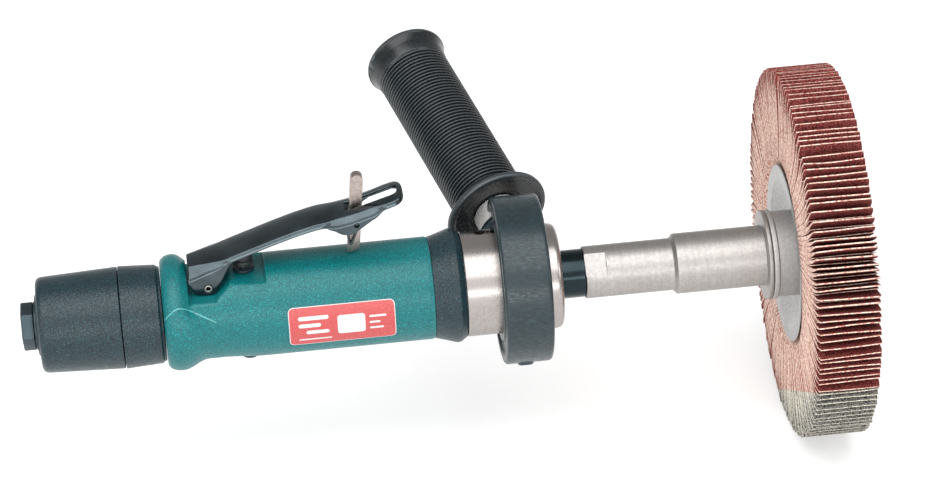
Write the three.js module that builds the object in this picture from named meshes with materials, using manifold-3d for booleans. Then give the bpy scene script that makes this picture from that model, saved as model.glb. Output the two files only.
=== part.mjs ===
// Air-powered finishing grinder with a side handle and an abrasive flap wheel.
// Millimetres. +X runs along the tool axis from the air inlet to the wheel, and +Z points to the
// throttle lever. The origin is the centre of the front face of the screw that holds the wheel.

import * as THREE from 'three';
import { mergeVertices } from 'three/addons/utils/BufferGeometryUtils.js';
import Module from 'manifold-3d';

const wasm = await Module();
wasm.setup();

// ---------------------------------------------------------------------------------------------
// Driving dimensions
// ---------------------------------------------------------------------------------------------

const WHEEL_BACK = -35.4;
const station = (behindWheel) => WHEEL_BACK - behindWheel;

const WHEEL_RADIUS = 76.2;
const WHEEL_WIDTH = 25.4;
const WHEEL_PLATE_RADIUS = 36.6;
const WHEEL_PLATE_DISH = 4.4;
const WHEEL_PLATE_SHEET = 0.9;

const INLET_END = station(311.7);
const INLET_HEX_FRONT = station(306.4);
const INLET_ACROSS_FLATS = 17;
const INLET_PORT_RADIUS = 5.7;
const INLET_TUBE_RADIUS = 7.5;
const INLET_PASSAGE_RADIUS = 4.5;

const CAP_REAR = station(305.7);
const CAP_FRONT = station(271.6);
const CAP_WALL = 2.6;
const EXHAUST_RING_REAR = station(271.3);
const EXHAUST_RING_FRONT = station(254.7);

const HOUSING_REAR = station(254.4);
const HOUSING_FRONT = station(145.6);
const HOUSING_RADIUS = 21;
const NECK_RADIUS = 20.1;
const FLARE_CREST = station(248.4);
const FLARE_HEIGHT = 3.65;
const MOTOR_BORE_RADIUS = 17;
const MOTOR_BORE_REAR = station(206);

const RECESS_REAR = station(243.9);
const RECESS_LOW = station(233.2);
const RECESS_HIGH = station(226.7);
const RECESS_FRONT = station(212.4);
const RECESS_LOW_Z = 12.5;
const RECESS_HIGH_Z = 17.4;

const VALVE_X = station(220.8);
const CHAMBER_RADIUS = 5.3;

const LEVER_PIN_X = station(235.6);
const LEVER_PIN_Z = 15.9;
const LEVER_HALF_WIDTH = 8.1;
const LEVER_SHEET = 1.5;
const EAR_INNER = 8.4;
const EAR_OUTER = 9.8;
const SLOT_WIDTH = 7;

const LOCK_PIN_X = station(174.4);
const LOCK_PIN_Z = 38.7;
const LOCK_LEAN = THREE.MathUtils.degToRad(5.4);

const CASE_REAR = station(150.8);
const COLLAR_REAR = station(132.4);
const NOSE = station(93);
const COLLAR_RADIUS = 21.5;

const SUN_TEETH = 12;
const PLANET_TEETH = 15;
const RING_TEETH = 42;
const GEAR_MODULE = 0.75;
const PLANET_COUNT = 3;
const PLANET_ORBIT = (GEAR_MODULE * (SUN_TEETH + PLANET_TEETH)) / 2;
const BLADE_COUNT = 5;

const SPINDLE_RADIUS = 9.93;
const ARBOR_REAR = station(82.7);
const ARBOR_STEP = station(46.6);

const CLAMP_REAR = station(118.4);
const CLAMP_FRONT = station(99);
const CLAMP_RADIUS = 34.3;
const HANDLE_ROOT = new THREE.Vector3(station(102.4), 0, 0);
const HANDLE_DIRECTION = new THREE.Vector3(-0.281, 0.923, 0.261).normalize();
const HANDLE_FACE = 38.3;
const HANDLE_END = 137.9;
const GRIP_RADIUS = 15.4;

const ROUND = 24;
const RIM_ROUND = 48;
const INNER_ROUND = 20;
const SMALL_ROUND = 12;
const TINY_ROUND = 8;

// ---------------------------------------------------------------------------------------------
// Materials
// ---------------------------------------------------------------------------------------------

const finish = (color, roughness, metalness) =>
  new THREE.MeshStandardMaterial({ color, roughness, metalness });

const tealPlastic = finish(0x0b7f7a, 0.55, 0);
const blackPlastic = finish(0x2b3438, 0.6, 0);
const blackSteel = finish(0x24282b, 0.4, 0.6);
const brightSteel = finish(0xd2ccc4, 0.3, 1);
const plainSteel = finish(0x9a9a98, 0.4, 1);
const castIron = finish(0x5a5c5e, 0.5, 0.8);
const brass = finish(0xb08d4a, 0.35, 1);
const rubber = finish(0x191b1c, 0.8, 0);
const felt = finish(0xcfc8b4, 1, 0);
const redLabel = finish(0xc9483f, 0.5, 0);
const bladeComposite = finish(0x6b4a2c, 0.7, 0);
const abrasive = finish(0x9a4f40, 0.95, 0);
const resin = finish(0x7c5a48, 0.8, 0);

// ---------------------------------------------------------------------------------------------
// Shape helpers
// ---------------------------------------------------------------------------------------------

// Shared corners merged and flat slivers dropped, so the mesh is one closed surface.
function toSolid(geometry) {
  const bare = geometry.clone();
  bare.deleteAttribute('normal');
  bare.deleteAttribute('uv');
  const merged = mergeVertices(bare, 1e-5);
  const corners = merged.index.array;
  const triangles = [];
  for (let i = 0; i < corners.length; i += 3) {
    const [a, b, c] = [corners[i], corners[i + 1], corners[i + 2]];
    if (a !== b && b !== c && c !== a) triangles.push(a, b, c);
  }
  return new wasm.Manifold(new wasm.Mesh({
    numProp: 3,
    vertProperties: new Float32Array(merged.attributes.position.array),
    triVerts: new Uint32Array(triangles),
  }));
}

function toGeometry(solid) {
  const mesh = solid.getMesh();
  const geometry = new THREE.BufferGeometry();
  geometry.setAttribute('position', new THREE.BufferAttribute(mesh.vertProperties, 3));
  geometry.setIndex(new THREE.BufferAttribute(mesh.triVerts, 1));
  return geometry;
}

function join(...geometries) {
  return toGeometry(geometries.map(toSolid).reduce((whole, next) => whole.add(next)));
}

function cut(base, ...tools) {
  return toGeometry(tools.map(toSolid).reduce((rest, tool) => rest.subtract(tool), toSolid(base)));
}

// A solid of revolution about the X axis from the [x, radius] corners of a closed profile. A
// profile with an edge on the axis makes a solid, and one clear of the axis makes a ring.
function turned(profile, segments = ROUND) {
  let area = 0;
  profile.forEach(([x, r], i) => {
    const [nextX, nextR] = profile[(i + 1) % profile.length];
    area += r * nextX - nextR * x;
  });
  const ordered = area > 0 ? profile : [...profile].reverse();
  const first = ordered.findIndex(([, r], i) => r === 0 && ordered.at(i - 1)[1] === 0);
  const corners = first < 0
    ? [...ordered, ordered[0]]
    : [...ordered.slice(first), ...ordered.slice(0, first)];
  const points = corners.map(([x, r]) => new THREE.Vector2(r, x));
  return new THREE.LatheGeometry(points, segments).rotateZ(-Math.PI / 2);
}

const tube = (x0, x1, inner, outer, segments = ROUND) =>
  turned([[x0, inner], [x0, outer], [x1, outer], [x1, inner]], segments);

const bar = (x0, x1, radius, segments = ROUND) =>
  turned([[x0, 0], [x0, radius], [x1, radius], [x1, 0]], segments);

// Points of a rounded corner, from one angle to another, about a centre in the profile plane.
function arc(centreX, centreR, radius, fromDegrees, toDegrees, steps = 3) {
  return Array.from({ length: steps + 1 }, (_, i) => {
    const angle = THREE.MathUtils.degToRad(fromDegrees + ((toDegrees - fromDegrees) * i) / steps);
    return [centreX + radius * Math.cos(angle), centreR + radius * Math.sin(angle)];
  });
}

const outlineShape = (points) => new THREE.Shape(points.map(([u, v]) => new THREE.Vector2(u, v)));

const straightExtrude = (shape, depth) =>
  new THREE.ExtrudeGeometry(shape, { depth, bevelEnabled: false, steps: 1 });

// An outline in the XZ plane, given thickness from y0 to y1.
const slab = (outline, y0, y1) =>
  straightExtrude(outlineShape(outline), y1 - y0).rotateX(Math.PI / 2).translate(0, y1, 0);

// An outline in the YZ plane, given thickness from x0 to x1.
function crossSection(outline, x0, x1, hole = null) {
  const shape = outlineShape(outline);
  if (hole) shape.holes.push(outlineShape(hole));
  const turn = new THREE.Matrix4().makeBasis(
    new THREE.Vector3(0, 1, 0), new THREE.Vector3(0, 0, 1), new THREE.Vector3(1, 0, 0));
  return straightExtrude(shape, x1 - x0).applyMatrix4(turn).translate(x0, 0, 0);
}

const block = (x0, x1, y0, y1, z0, z1) =>
  new THREE.BoxGeometry(x1 - x0, y1 - y0, z1 - z0)
    .translate((x0 + x1) / 2, (y0 + y1) / 2, (z0 + z1) / 2);

// A round rod between two points.
function rod(from, to, radius, segments = SMALL_ROUND) {
  const along = new THREE.Vector3().subVectors(to, from);
  const direction = along.clone().normalize();
  const turn = new THREE.Quaternion().setFromUnitVectors(new THREE.Vector3(0, 1, 0), direction);
  const middle = new THREE.Vector3().addVectors(from, to).multiplyScalar(0.5);
  return new THREE.CylinderGeometry(radius, radius, along.length(), segments)
    .applyQuaternion(turn).translate(middle.x, middle.y, middle.z);
}

const uprightRod = (x, z0, z1, radius, segments = SMALL_ROUND) =>
  rod(new THREE.Vector3(x, 0, z0), new THREE.Vector3(x, 0, z1), radius, segments);

const crossRod = (x, z, y0, y1, radius) =>
  rod(new THREE.Vector3(x, y0, z), new THREE.Vector3(x, y1, z), radius);

// A turned piece whose axis is upright at x, from [z, radius] points.
const uprightTurned = (x, profile, segments = SMALL_ROUND) =>
  turned(profile, segments).rotateY(-Math.PI / 2).translate(x, 0, 0);

const circle = (radius, count, phase = 0) =>
  Array.from({ length: count }, (_, i) => {
    const angle = phase + (2 * Math.PI * i) / count;
    return [radius * Math.cos(angle), radius * Math.sin(angle)];
  });

const hexagon = (acrossFlats, phase = 0) => circle(acrossFlats / Math.sqrt(3), 6, phase);

// A wire of round section along a smooth curve through the points.
function wire(points, radius, steps) {
  const path = new THREE.CatmullRomCurve3(points.map((point) => new THREE.Vector3(...point)));
  const section = outlineShape(circle(radius, 5));
  return new THREE.ExtrudeGeometry(section, { steps, extrudePath: path, bevelEnabled: false });
}

const model = new THREE.Group();

function addPiece(name, geometry, material, parent = model) {
  const mesh = new THREE.Mesh(geometry, material);
  mesh.name = name;
  parent.add(mesh);
  return mesh;
}

// ---------------------------------------------------------------------------------------------
// Air inlet and muffler
// ---------------------------------------------------------------------------------------------

function buildInlet() {
  const tubeFront = station(246);
  const portDepth = 14;
  const hex = crossSection(hexagon(INLET_ACROSS_FLATS), INLET_END, INLET_HEX_FRONT);
  const shank = bar(INLET_HEX_FRONT - 1, tubeFront, INLET_TUBE_RADIUS);
  const port = bar(INLET_END - 1, INLET_END + portDepth, INLET_PORT_RADIUS);
  const passage = bar(INLET_END - 1, tubeFront + 1, INLET_PASSAGE_RADIUS);
  addPiece('inlet_bushing', cut(join(hex, shank), port, passage), blackSteel);

  const washer = tube(INLET_HEX_FRONT + 0.05, CAP_REAR - 0.05, INLET_TUBE_RADIUS + 0.1, 9.9);
  addPiece('inlet_washer', washer, brightSteel);

  const screenRear = INLET_END + portDepth + 0.3;
  addPiece('inlet_screen', turned([
    [screenRear, 3.3], [screenRear, 4.3], [screenRear + 1.5, 4.3], [screenRear + 9, 1.6],
    [screenRear + 9, 0], [screenRear + 8.2, 0], [screenRear + 8.2, 1.0], [screenRear + 1.2, 3.3],
  ], SMALL_ROUND), brass);
}

function buildMuffler() {
  const hubRadius = 12.3;
  const shoulder = CAP_REAR + 0.8;
  const insideRear = CAP_REAR + 3;
  const frontRadius = 20.75;
  const cap = turned([
    [insideRear, INLET_TUBE_RADIUS + 0.1], [CAP_REAR, INLET_TUBE_RADIUS + 0.1], [CAP_REAR, hubRadius],
    [shoulder, hubRadius], [shoulder, 16.4], ...arc(shoulder + 3.2, 16.4, 3.2, 160, 95, 3),
    [CAP_FRONT, frontRadius], [CAP_FRONT, frontRadius - CAP_WALL], [insideRear, 17.4],
  ]);
  const ventCount = 10;
  const vents = Array.from({ length: ventCount }, (_, i) => {
    const angle = (2 * Math.PI * (i + 0.5)) / ventCount;
    return bar(CAP_REAR - 1, insideRear + 1, 1.4, TINY_ROUND)
      .translate(0, 14.6 * Math.cos(angle), 14.6 * Math.sin(angle));
  });
  addPiece('muffler_cap', cut(cap, ...vents), blackPlastic);
  const feltBore = INLET_TUBE_RADIUS + 0.3;
  addPiece('muffler_felt', tube(insideRear + 0.3, CAP_FRONT - 1, feltBore, 17.1, INNER_ROUND), felt);
  addPiece('exhaust_ring', turned([
    [EXHAUST_RING_REAR, 17.2], [EXHAUST_RING_REAR, 20.9], [EXHAUST_RING_FRONT - 1.5, 20.1],
    [EXHAUST_RING_FRONT, 19.2], [EXHAUST_RING_FRONT, 12], [EXHAUST_RING_FRONT - 2, 12],
    [EXHAUST_RING_FRONT - 2, 17.2],
  ]), blackPlastic);
}

// ---------------------------------------------------------------------------------------------
// Housing
// ---------------------------------------------------------------------------------------------

// Outside radius of the housing: a full rear flare that runs forward into a slim neck and then
// widens a little to the grip.
function housingRadius(x) {
  const grip = THREE.MathUtils.smoothstep(x, station(232), station(214));
  const body = THREE.MathUtils.lerp(NECK_RADIUS, HOUSING_RADIUS, grip);
  const offset = x - FLARE_CREST;
  const rearReach = 6.05;
  const frontReach = 10.8;
  if (offset < 0) {
    return body + FLARE_HEIGHT * Math.sqrt(Math.max(0, 1 - (-offset / rearReach) ** 2.5));
  }
  if (offset < frontReach) {
    return body + (FLARE_HEIGHT * (1 + Math.cos((Math.PI * offset) / frontReach))) / 2;
  }
  return body;
}

function housingShell() {
  const profile = [];
  const sampleSteps = [0, 0.8, 2.2, 6, 9, 12, 15.2, 26, 33, 40.4];
  sampleSteps.forEach((step) => profile.push([HOUSING_REAR + step, housingRadius(HOUSING_REAR + step)]));
  profile.push([HOUSING_FRONT - 1.2, HOUSING_RADIUS], [HOUSING_FRONT, HOUSING_RADIUS - 0.5]);
  const registerRear = CASE_REAR - 0.3;
  profile.push([HOUSING_FRONT, 19.45], [registerRear, 19.45], [registerRear, MOTOR_BORE_RADIUS]);
  profile.push([MOTOR_BORE_REAR, MOTOR_BORE_RADIUS], [MOTOR_BORE_REAR, 0], [HOUSING_REAR, 0]);
  return turned(profile);
}

function buildHousing() {
  const above = HOUSING_RADIUS + 8;
  const recess = slab([
    [RECESS_REAR, above], [RECESS_REAR, RECESS_LOW_Z], [RECESS_LOW, RECESS_LOW_Z],
    [RECESS_HIGH, RECESS_HIGH_Z], [RECESS_FRONT, RECESS_HIGH_Z], [RECESS_FRONT, above],
  ], -above, above);

  // The lug between the lever's ears that holds the lever pin.
  const lugRadius = 2.6;
  const lugHalfWidth = 8.05;
  const lug = join(
    crossRod(LEVER_PIN_X, LEVER_PIN_Z, -lugHalfWidth, lugHalfWidth, lugRadius),
    block(LEVER_PIN_X - lugRadius, LEVER_PIN_X + lugRadius, -lugHalfWidth, lugHalfWidth, 5, LEVER_PIN_Z));
  const pinHole = crossRod(LEVER_PIN_X, LEVER_PIN_Z, -15, 15, 1.65);

  const inletSeat = bar(HOUSING_REAR - 1, station(245.6), INLET_TUBE_RADIUS + 0.1);
  const passage = bar(station(246), VALVE_X, INLET_PASSAGE_RADIUS, SMALL_ROUND);
  const valveChamber = uprightRod(VALVE_X, -30, 7.2, CHAMBER_RADIUS, INNER_ROUND);
  const stemBore = uprightRod(VALVE_X, 6, 14.2, 2.2);
  const bushingBore = uprightRod(VALVE_X, 14, 30, 3.1);
  const feed = bar(VALVE_X, MOTOR_BORE_REAR + 1, 2.4, TINY_ROUND).translate(0, 0, 9.8);
  const exhausts = [-1, 1].map((side) =>
    bar(HOUSING_REAR - 1, MOTOR_BORE_REAR + 1, 2.4, TINY_ROUND).translate(0, side * 12.6, -6.5));

  const shell = join(cut(housingShell(), recess), lug);
  const bores = [pinHole, inletSeat, passage, valveChamber, stemBore, bushingBore, feed, ...exhausts];
  addPiece('housing', cut(shell, ...bores), tealPlastic);
}

function buildNamePlate() {
  const half = THREE.MathUtils.degToRad(24.7);
  const steps = 8;
  const inner = HOUSING_RADIUS + 0.04;
  const outer = HOUSING_RADIUS + 0.34;
  const edge = (radius, reverse) => Array.from({ length: steps + 1 }, (_, i) => {
    const part = reverse ? steps - i : i;
    const angle = Math.PI - half + (2 * half * part) / steps;
    return [radius * Math.cos(angle), radius * Math.sin(angle)];
  });
  const outline = [...edge(outer, false), ...edge(inner, true)];
  addPiece('name_plate', crossSection(outline, station(205), station(161.9)), redLabel);
}

// ---------------------------------------------------------------------------------------------
// Throttle valve
// ---------------------------------------------------------------------------------------------

function buildValve() {
  const seatProfile = [[3.8, 2.7], [3.8, 5.1], [7, 5.1], [7, 2.7]];
  addPiece('valve_seat', uprightTurned(VALVE_X, seatProfile, INNER_ROUND), brass);
  addPiece('valve_stem', uprightTurned(VALVE_X, [
    [1.3, 0], [1.3, 3.4], [2.4, 3.9], [3.6, 3.9], [3.6, 1.3], [22.4, 1.3], [22.4, 0],
  ]), plainSteel);
  addPiece('stem_bushing', uprightTurned(VALVE_X, [
    [14.4, 1.6], [14.4, 2.95], [17.5, 2.95], [17.5, 4.3], [18.9, 4.3], [18.9, 1.6],
  ]), blackPlastic);

  // The ribbed button that the lever presses.
  const ribs = 2;
  const ribPitch = 2.8;
  const ribBase = 20.7;
  const profile = [[ribBase, 1.35]];
  for (let i = 0; i < ribs; i++) {
    const z = ribBase + i * ribPitch;
    profile.push([z, 4.1], [z + 2, 4.1], [z + 2.1, 3.4], [z + ribPitch - 0.1, 3.4]);
  }
  const ribTop = ribBase + ribs * ribPitch;
  profile.push([ribTop, 2.4], [28.2, 1.9], [28.2, 0], [22.6, 0], [22.6, 1.35]);
  addPiece('valve_button', uprightTurned(VALVE_X, profile), rubber);

  const springBottom = -12.4;
  const springTop = 0.8;
  const turns = 4;
  const pointsPerTurn = 8;
  const coil = Array.from({ length: turns * pointsPerTurn + 1 }, (_, i) => {
    const angle = (2 * Math.PI * i) / pointsPerTurn;
    const z = springBottom + ((springTop - springBottom) * i) / (turns * pointsPerTurn);
    return [VALVE_X + 2.9 * Math.cos(angle), 2.9 * Math.sin(angle), z];
  });
  addPiece('valve_spring', wire(coil, 0.35, turns * pointsPerTurn), plainSteel);

  const regulator = uprightTurned(VALVE_X, [
    [-23.6, 0], [-23.6, 3.2], [-23.2, 3.6], [-20.4, 3.6], [-20.4, 5.1], [-13.2, 5.1], [-13.2, 0],
  ], INNER_ROUND);
  const driverSlot = block(VALVE_X - 4, VALVE_X + 4, -0.6, 0.6, -25, -22.4);
  addPiece('speed_regulator', cut(regulator, driverSlot), blackSteel);
}

// ---------------------------------------------------------------------------------------------
// Throttle lever and its safety lock
// ---------------------------------------------------------------------------------------------

// Height of the lever's top face along the tool: a raised rear seat, a long ramp, a flatter palm
// stretch and a lifted front end.
const LEVER_TOP = [
  [243.2, 24.4], [229.5, 27.9], [223.3, 30.1], [208.8, 35.2], [199.3, 38.3], [190.6, 40.6],
  [184.4, 41.4], [176.4, 42.8], [170.6, 44.6], [158.3, 48.4], [154.8, 49.3],
].map(([behindWheel, z]) => [station(behindWheel), z]);

const LEVER_REAR = LEVER_TOP[0][0];
const LEVER_FRONT = LEVER_TOP[LEVER_TOP.length - 1][0];

const lowered = (points, drop) => points.map(([x, z]) => [x, z - drop]);

function leverChannel() {
  const flangeDepth = 3;
  const rearFlangeZ = 19.6;
  const rearFlangeFront = station(230);
  const underside = lowered(LEVER_TOP, flangeDepth).filter(([x]) => x > rearFlangeFront + 1).reverse();
  const outside = slab([
    ...LEVER_TOP, ...underside,
    [rearFlangeFront, 23.8], [rearFlangeFront - 2, rearFlangeZ], [LEVER_REAR, rearFlangeZ],
  ], -LEVER_HALF_WIDTH, LEVER_HALF_WIDTH);
  const insideTop = lowered(LEVER_TOP.slice(0, -1), LEVER_SHEET);
  insideTop[0][0] -= 1;
  insideTop.push([LEVER_FRONT - LEVER_SHEET, 49.1 - LEVER_SHEET]);
  const inside = slab([
    ...insideTop, [LEVER_FRONT - LEVER_SHEET, 5], [LEVER_REAR - 1, 5],
  ], -LEVER_HALF_WIDTH + LEVER_SHEET, LEVER_HALF_WIDTH - LEVER_SHEET);
  return cut(outside, inside);
}

// A plate beside the channel that carries a pin, with the offset bend that joins it on.
function leverEar(side, earOutline, bendOutline) {
  const span = (from, to) => (side > 0 ? [from, to] : [-to, -from]);
  return [
    slab(earOutline, ...span(EAR_INNER, EAR_OUTER)),
    slab(bendOutline, ...span(LEVER_HALF_WIDTH - LEVER_SHEET, EAR_OUTER)),
  ];
}

function buildLever() {
  const rearEar = [
    [LEVER_REAR, 21.2], [LEVER_REAR, 18.4], [LEVER_PIN_X - 3, 13.4], [LEVER_PIN_X - 1.2, 12.8],
    [LEVER_PIN_X + 1.2, 12.8], [LEVER_PIN_X + 3, 13.6], [station(229.6), 19.4], [station(228.8), 21.2],
  ];
  const rearBend = [
    [LEVER_REAR, 21.2], [LEVER_REAR, 19.6], [station(230.2), 19.6], [station(228.8), 21.2],
  ];
  const frontEar = [
    [station(184.8), 40], [station(184.8), 38.4], [station(180.2), 35], [station(176), 34.5],
    [station(163.4), 44], [station(163.4), 45.4],
  ];
  const frontBend = [
    [station(184.8), 40], [station(184.8), 38.4], [station(163.4), 43.9], [station(163.4), 45.4],
  ];
  const ears = [-1, 1].flatMap((side) => [
    ...leverEar(side, rearEar, rearBend), ...leverEar(side, frontEar, frontBend)]);
  const lever = cut(
    join(leverChannel(), ...ears),
    crossRod(LEVER_PIN_X, LEVER_PIN_Z, -15, 15, 1.8),
    crossRod(LOCK_PIN_X, LOCK_PIN_Z, -15, 15, 1.15),
    block(station(178.4), station(157.9), -SLOT_WIDTH / 2, SLOT_WIDTH / 2, 30, 60));
  addPiece('throttle_lever', lever, blackSteel);

  const pin = cut(
    crossRod(LEVER_PIN_X, LEVER_PIN_Z, -10.2, 10.2, 1.6),
    crossRod(LEVER_PIN_X, LEVER_PIN_Z, -12, 12, 0.9));
  addPiece('lever_pin', pin, brightSteel);
}

function buildSafetyLock() {
  const lock = new THREE.Group();
  lock.position.set(LOCK_PIN_X, 0, LOCK_PIN_Z);
  lock.rotation.y = LOCK_LEAN;
  model.add(lock);

  const halfLength = 2.2;
  const heel = 17.1;
  const toe = 15;
  const top = 19.6;
  const roundTop = arc(0, top - halfLength, halfLength, 0, 180, 6);
  const blade = slab([[-halfLength, -heel], [-0.9, -heel], [halfLength, -toe], ...roundTop], -2, 2);
  addPiece('safety_lock', cut(blade, crossRod(0, 0, -5, 5, 1.35)), brightSteel, lock);

  // Torsion spring: a coil beside the blade and a bent leg behind it.
  const coilRadius = 1.9;
  const turns = 2;
  const pointsPerTurn = 8;
  const points = Array.from({ length: turns * pointsPerTurn + 1 }, (_, i) => {
    const angle = Math.PI + (2 * Math.PI * i) / pointsPerTurn;
    return [coilRadius * Math.cos(angle), -5.4 + (1.2 * i) / pointsPerTurn, coilRadius * Math.sin(angle)];
  });
  points.push([-2.6, -2.9, -3], [-3.9, -2, -6.2], [-3.7, -1, -8.6], [-2.9, 0.4, -10.2]);
  addPiece('lock_spring', wire(points, 0.4, 34), brightSteel, lock);

  addPiece('lock_pin', crossRod(LOCK_PIN_X, LOCK_PIN_Z, -9.9, 9.9, 1.1), blackSteel);
}

// ---------------------------------------------------------------------------------------------
// Vane motor
// ---------------------------------------------------------------------------------------------

function endPlate(x0, x1, pocketOpensRear) {
  const plateRadius = MOTOR_BORE_RADIUS - 0.15;
  const pocketRadius = 9.1;
  const web = 2;
  const [pocketStart, pocketEnd] = pocketOpensRear ? [x0 - 1, x1 - web] : [x0 + web, x1 + 1];
  return cut(bar(x0, x1, plateRadius), bar(pocketStart, pocketEnd, pocketRadius, INNER_ROUND),
    bar(x0 - 1, x1 + 1, 4.7, SMALL_ROUND));
}

function buildMotor() {
  const cylinderRear = station(198.4);
  const cylinderFront = station(158.6);
  const rearPlate = station(205.6);
  const frontPlate = station(151.2);
  const airHole = bar(rearPlate - 1, cylinderRear + 1, 2.4, TINY_ROUND).translate(0, 0, 12.6);
  const rotorBearing = (x0, x1) => tube(x0, x1, 4.15, 9, INNER_ROUND);
  addPiece('rear_end_plate', cut(endPlate(rearPlate, cylinderRear - 0.2, true), airHole), castIron);
  addPiece('front_end_plate', endPlate(cylinderFront + 0.2, frontPlate, false), castIron);
  addPiece('rear_rotor_bearing', rotorBearing(rearPlate + 0.1, rearPlate + 4.8), brightSteel);
  addPiece('front_rotor_bearing', rotorBearing(frontPlate - 4.8, frontPlate - 0.1), brightSteel);

  const boreRadius = 13;
  const boreOffset = 1.2;
  const cylinder = cut(
    bar(cylinderRear, cylinderFront, MOTOR_BORE_RADIUS - 0.15),
    bar(cylinderRear - 1, cylinderFront + 1, boreRadius, INNER_ROUND).translate(0, 0, boreOffset));
  addPiece('motor_cylinder', cylinder, castIron);

  const bodyRadius = 11.5;
  const bodyRear = cylinderRear + 0.2;
  const bodyFront = cylinderFront - 0.2;
  const slotFloor = 6.2;
  const bladeThickness = 1.8;
  let rotor = turned([
    [station(205.2), 0], [station(205.2), 4], [bodyRear, 4], [bodyRear, bodyRadius],
    [bodyFront, bodyRadius], [bodyFront, 4], [station(150.2), 4], [station(150.2), 2.6],
    [station(130.9), 2.6], [station(130.9), 0],
  ], INNER_ROUND);
  for (let i = 0; i < BLADE_COUNT; i++) {
    const angle = (2 * Math.PI * i) / BLADE_COUNT;
    const slotHalf = bladeThickness / 2 + 0.15;
    const slot = block(bodyRear - 1, bodyFront + 1, -slotHalf, slotHalf, slotFloor, 20);
    rotor = cut(rotor, slot.rotateX(angle));
    const bladeTip = bodyRadius + 0.05;
    const blade = block(bodyRear + 0.2, bodyFront - 0.2, -bladeThickness / 2, bladeThickness / 2,
      slotFloor + 0.3, bladeTip).rotateX(angle);
    addPiece(`rotor_blade_${i + 1}`, blade, bladeComposite);
  }
  addPiece('rotor', rotor, plainSteel);
}

// ---------------------------------------------------------------------------------------------
// Planetary gears
// ---------------------------------------------------------------------------------------------

// Outline of an involute gear with its first tooth centred on the +Y axis. toothShare is the
// part of the pitch that the tooth fills at the pitch circle.
function gearOutline(teeth, { addendum, dedendum, toothShare, phase = 0 }) {
  const pressureAngle = THREE.MathUtils.degToRad(20);
  const involute = (angle) => Math.tan(angle) - angle;
  const pitchRadius = (GEAR_MODULE * teeth) / 2;
  const baseRadius = pitchRadius * Math.cos(pressureAngle);
  const root = pitchRadius - dedendum;
  const tip = pitchRadius + addendum;
  const flank = [root, pitchRadius, tip];
  const halfAngle = (radius) => {
    const rolled = Math.acos(Math.min(1, baseRadius / Math.max(radius, baseRadius)));
    return (toothShare * Math.PI) / teeth + involute(pressureAngle) - involute(rolled);
  };
  const outline = [];
  for (let i = 0; i < teeth; i++) {
    const centre = phase + (2 * Math.PI * i) / teeth;
    const place = (radius, side) => {
      const angle = centre + side * halfAngle(radius);
      return [radius * Math.cos(angle), radius * Math.sin(angle)];
    };
    flank.forEach((radius) => outline.push(place(radius, -1)));
    [...flank].reverse().forEach((radius) => outline.push(place(radius, 1)));
  }
  return outline;
}

function planetCentre(index) {
  const angle = Math.PI / 2 + (2 * Math.PI * index) / PLANET_COUNT;
  return { angle, y: PLANET_ORBIT * Math.cos(angle), z: PLANET_ORBIT * Math.sin(angle) };
}

function buildGears() {
  const thinTooth = { addendum: 0.58, dedendum: 0.86, toothShare: 0.44 };
  const gearRear = station(142);
  const gearFront = station(131);
  addPiece('sun_pinion', crossSection(gearOutline(SUN_TEETH, thinTooth), station(149.6), gearFront,
    circle(2.7, INNER_ROUND)), plainSteel);
  const ringTeeth = gearOutline(RING_TEETH, {
    addendum: 0.86, dedendum: 0.58, toothShare: 0.56, phase: Math.PI / 2,
  });
  const ringBlank = circle(17.9, ROUND);
  addPiece('ring_gear', crossSection(ringBlank, gearRear - 1, gearFront + 0.5, ringTeeth), plainSteel);
  for (let i = 0; i < PLANET_COUNT; i++) {
    const { angle, y, z } = planetCentre(i);
    const phase = angle + Math.PI + Math.PI / PLANET_TEETH;
    const planet = crossSection(gearOutline(PLANET_TEETH, { ...thinTooth, phase }), gearRear, gearFront,
      circle(2.45, TINY_ROUND));
    const pin = bar(gearRear - 0.4, station(125.6), 2.2, TINY_ROUND);
    addPiece(`planet_gear_${i + 1}`, planet.translate(0, y, z), plainSteel);
    addPiece(`planet_pin_${i + 1}`, pin.translate(0, y, z), brightSteel);
  }
}

// ---------------------------------------------------------------------------------------------
// Gear case, spindle and arbor
// ---------------------------------------------------------------------------------------------

function buildGearCase() {
  const gearBore = 18.05;
  const bearingBore = 16.1;
  const shoulder = station(125.2);
  const sealRear = station(97.4);
  const lip = station(94.4);
  const noseRounding = 2.6;
  const gearCase = turned([
    [CASE_REAR, gearBore], [CASE_REAR, 19.3], [COLLAR_REAR, 19.3], [COLLAR_REAR, COLLAR_RADIUS],
    ...arc(NOSE - noseRounding, COLLAR_RADIUS - noseRounding, noseRounding, 90, 0, 4),
    [NOSE, 10.5], [lip, 10.5], [lip, 15.1], [sealRear, 15.1], [sealRear, bearingBore],
    [shoulder, bearingBore], [shoulder, gearBore],
  ]);

  // Blind holes for a pin spanner, just behind the handle clamp.
  const spannerAngle = THREE.MathUtils.degToRad(78);
  const radial = new THREE.Vector3(0, Math.cos(spannerAngle), Math.sin(spannerAngle));
  const spannerHole = (x, radius) => {
    const at = (distance) => new THREE.Vector3(x, 0, 0).addScaledVector(radial, distance);
    return rod(at(19), at(24), radius);
  };
  const spannerHoles = [spannerHole(station(124.3), 2.3), spannerHole(station(117.2), 1.4)];
  addPiece('gear_case', cut(gearCase, ...spannerHoles), brightSteel);

  const ringRear = HOUSING_FRONT + 0.3;
  const ringFront = COLLAR_REAR - 0.2;
  addPiece('front_lock_ring', turned([
    [ringRear, 19.4], [ringRear, 20.6], [ringRear + 3, 21.6], [ringRear + 6, 22.5],
    [ringRear + 8.6, 23.3], [ringRear + 10.4, 23.1], [ringRear + 11.8, 22.2], [ringFront, 21.4],
    [ringFront, 19.4],
  ]), blackPlastic);
}

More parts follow.
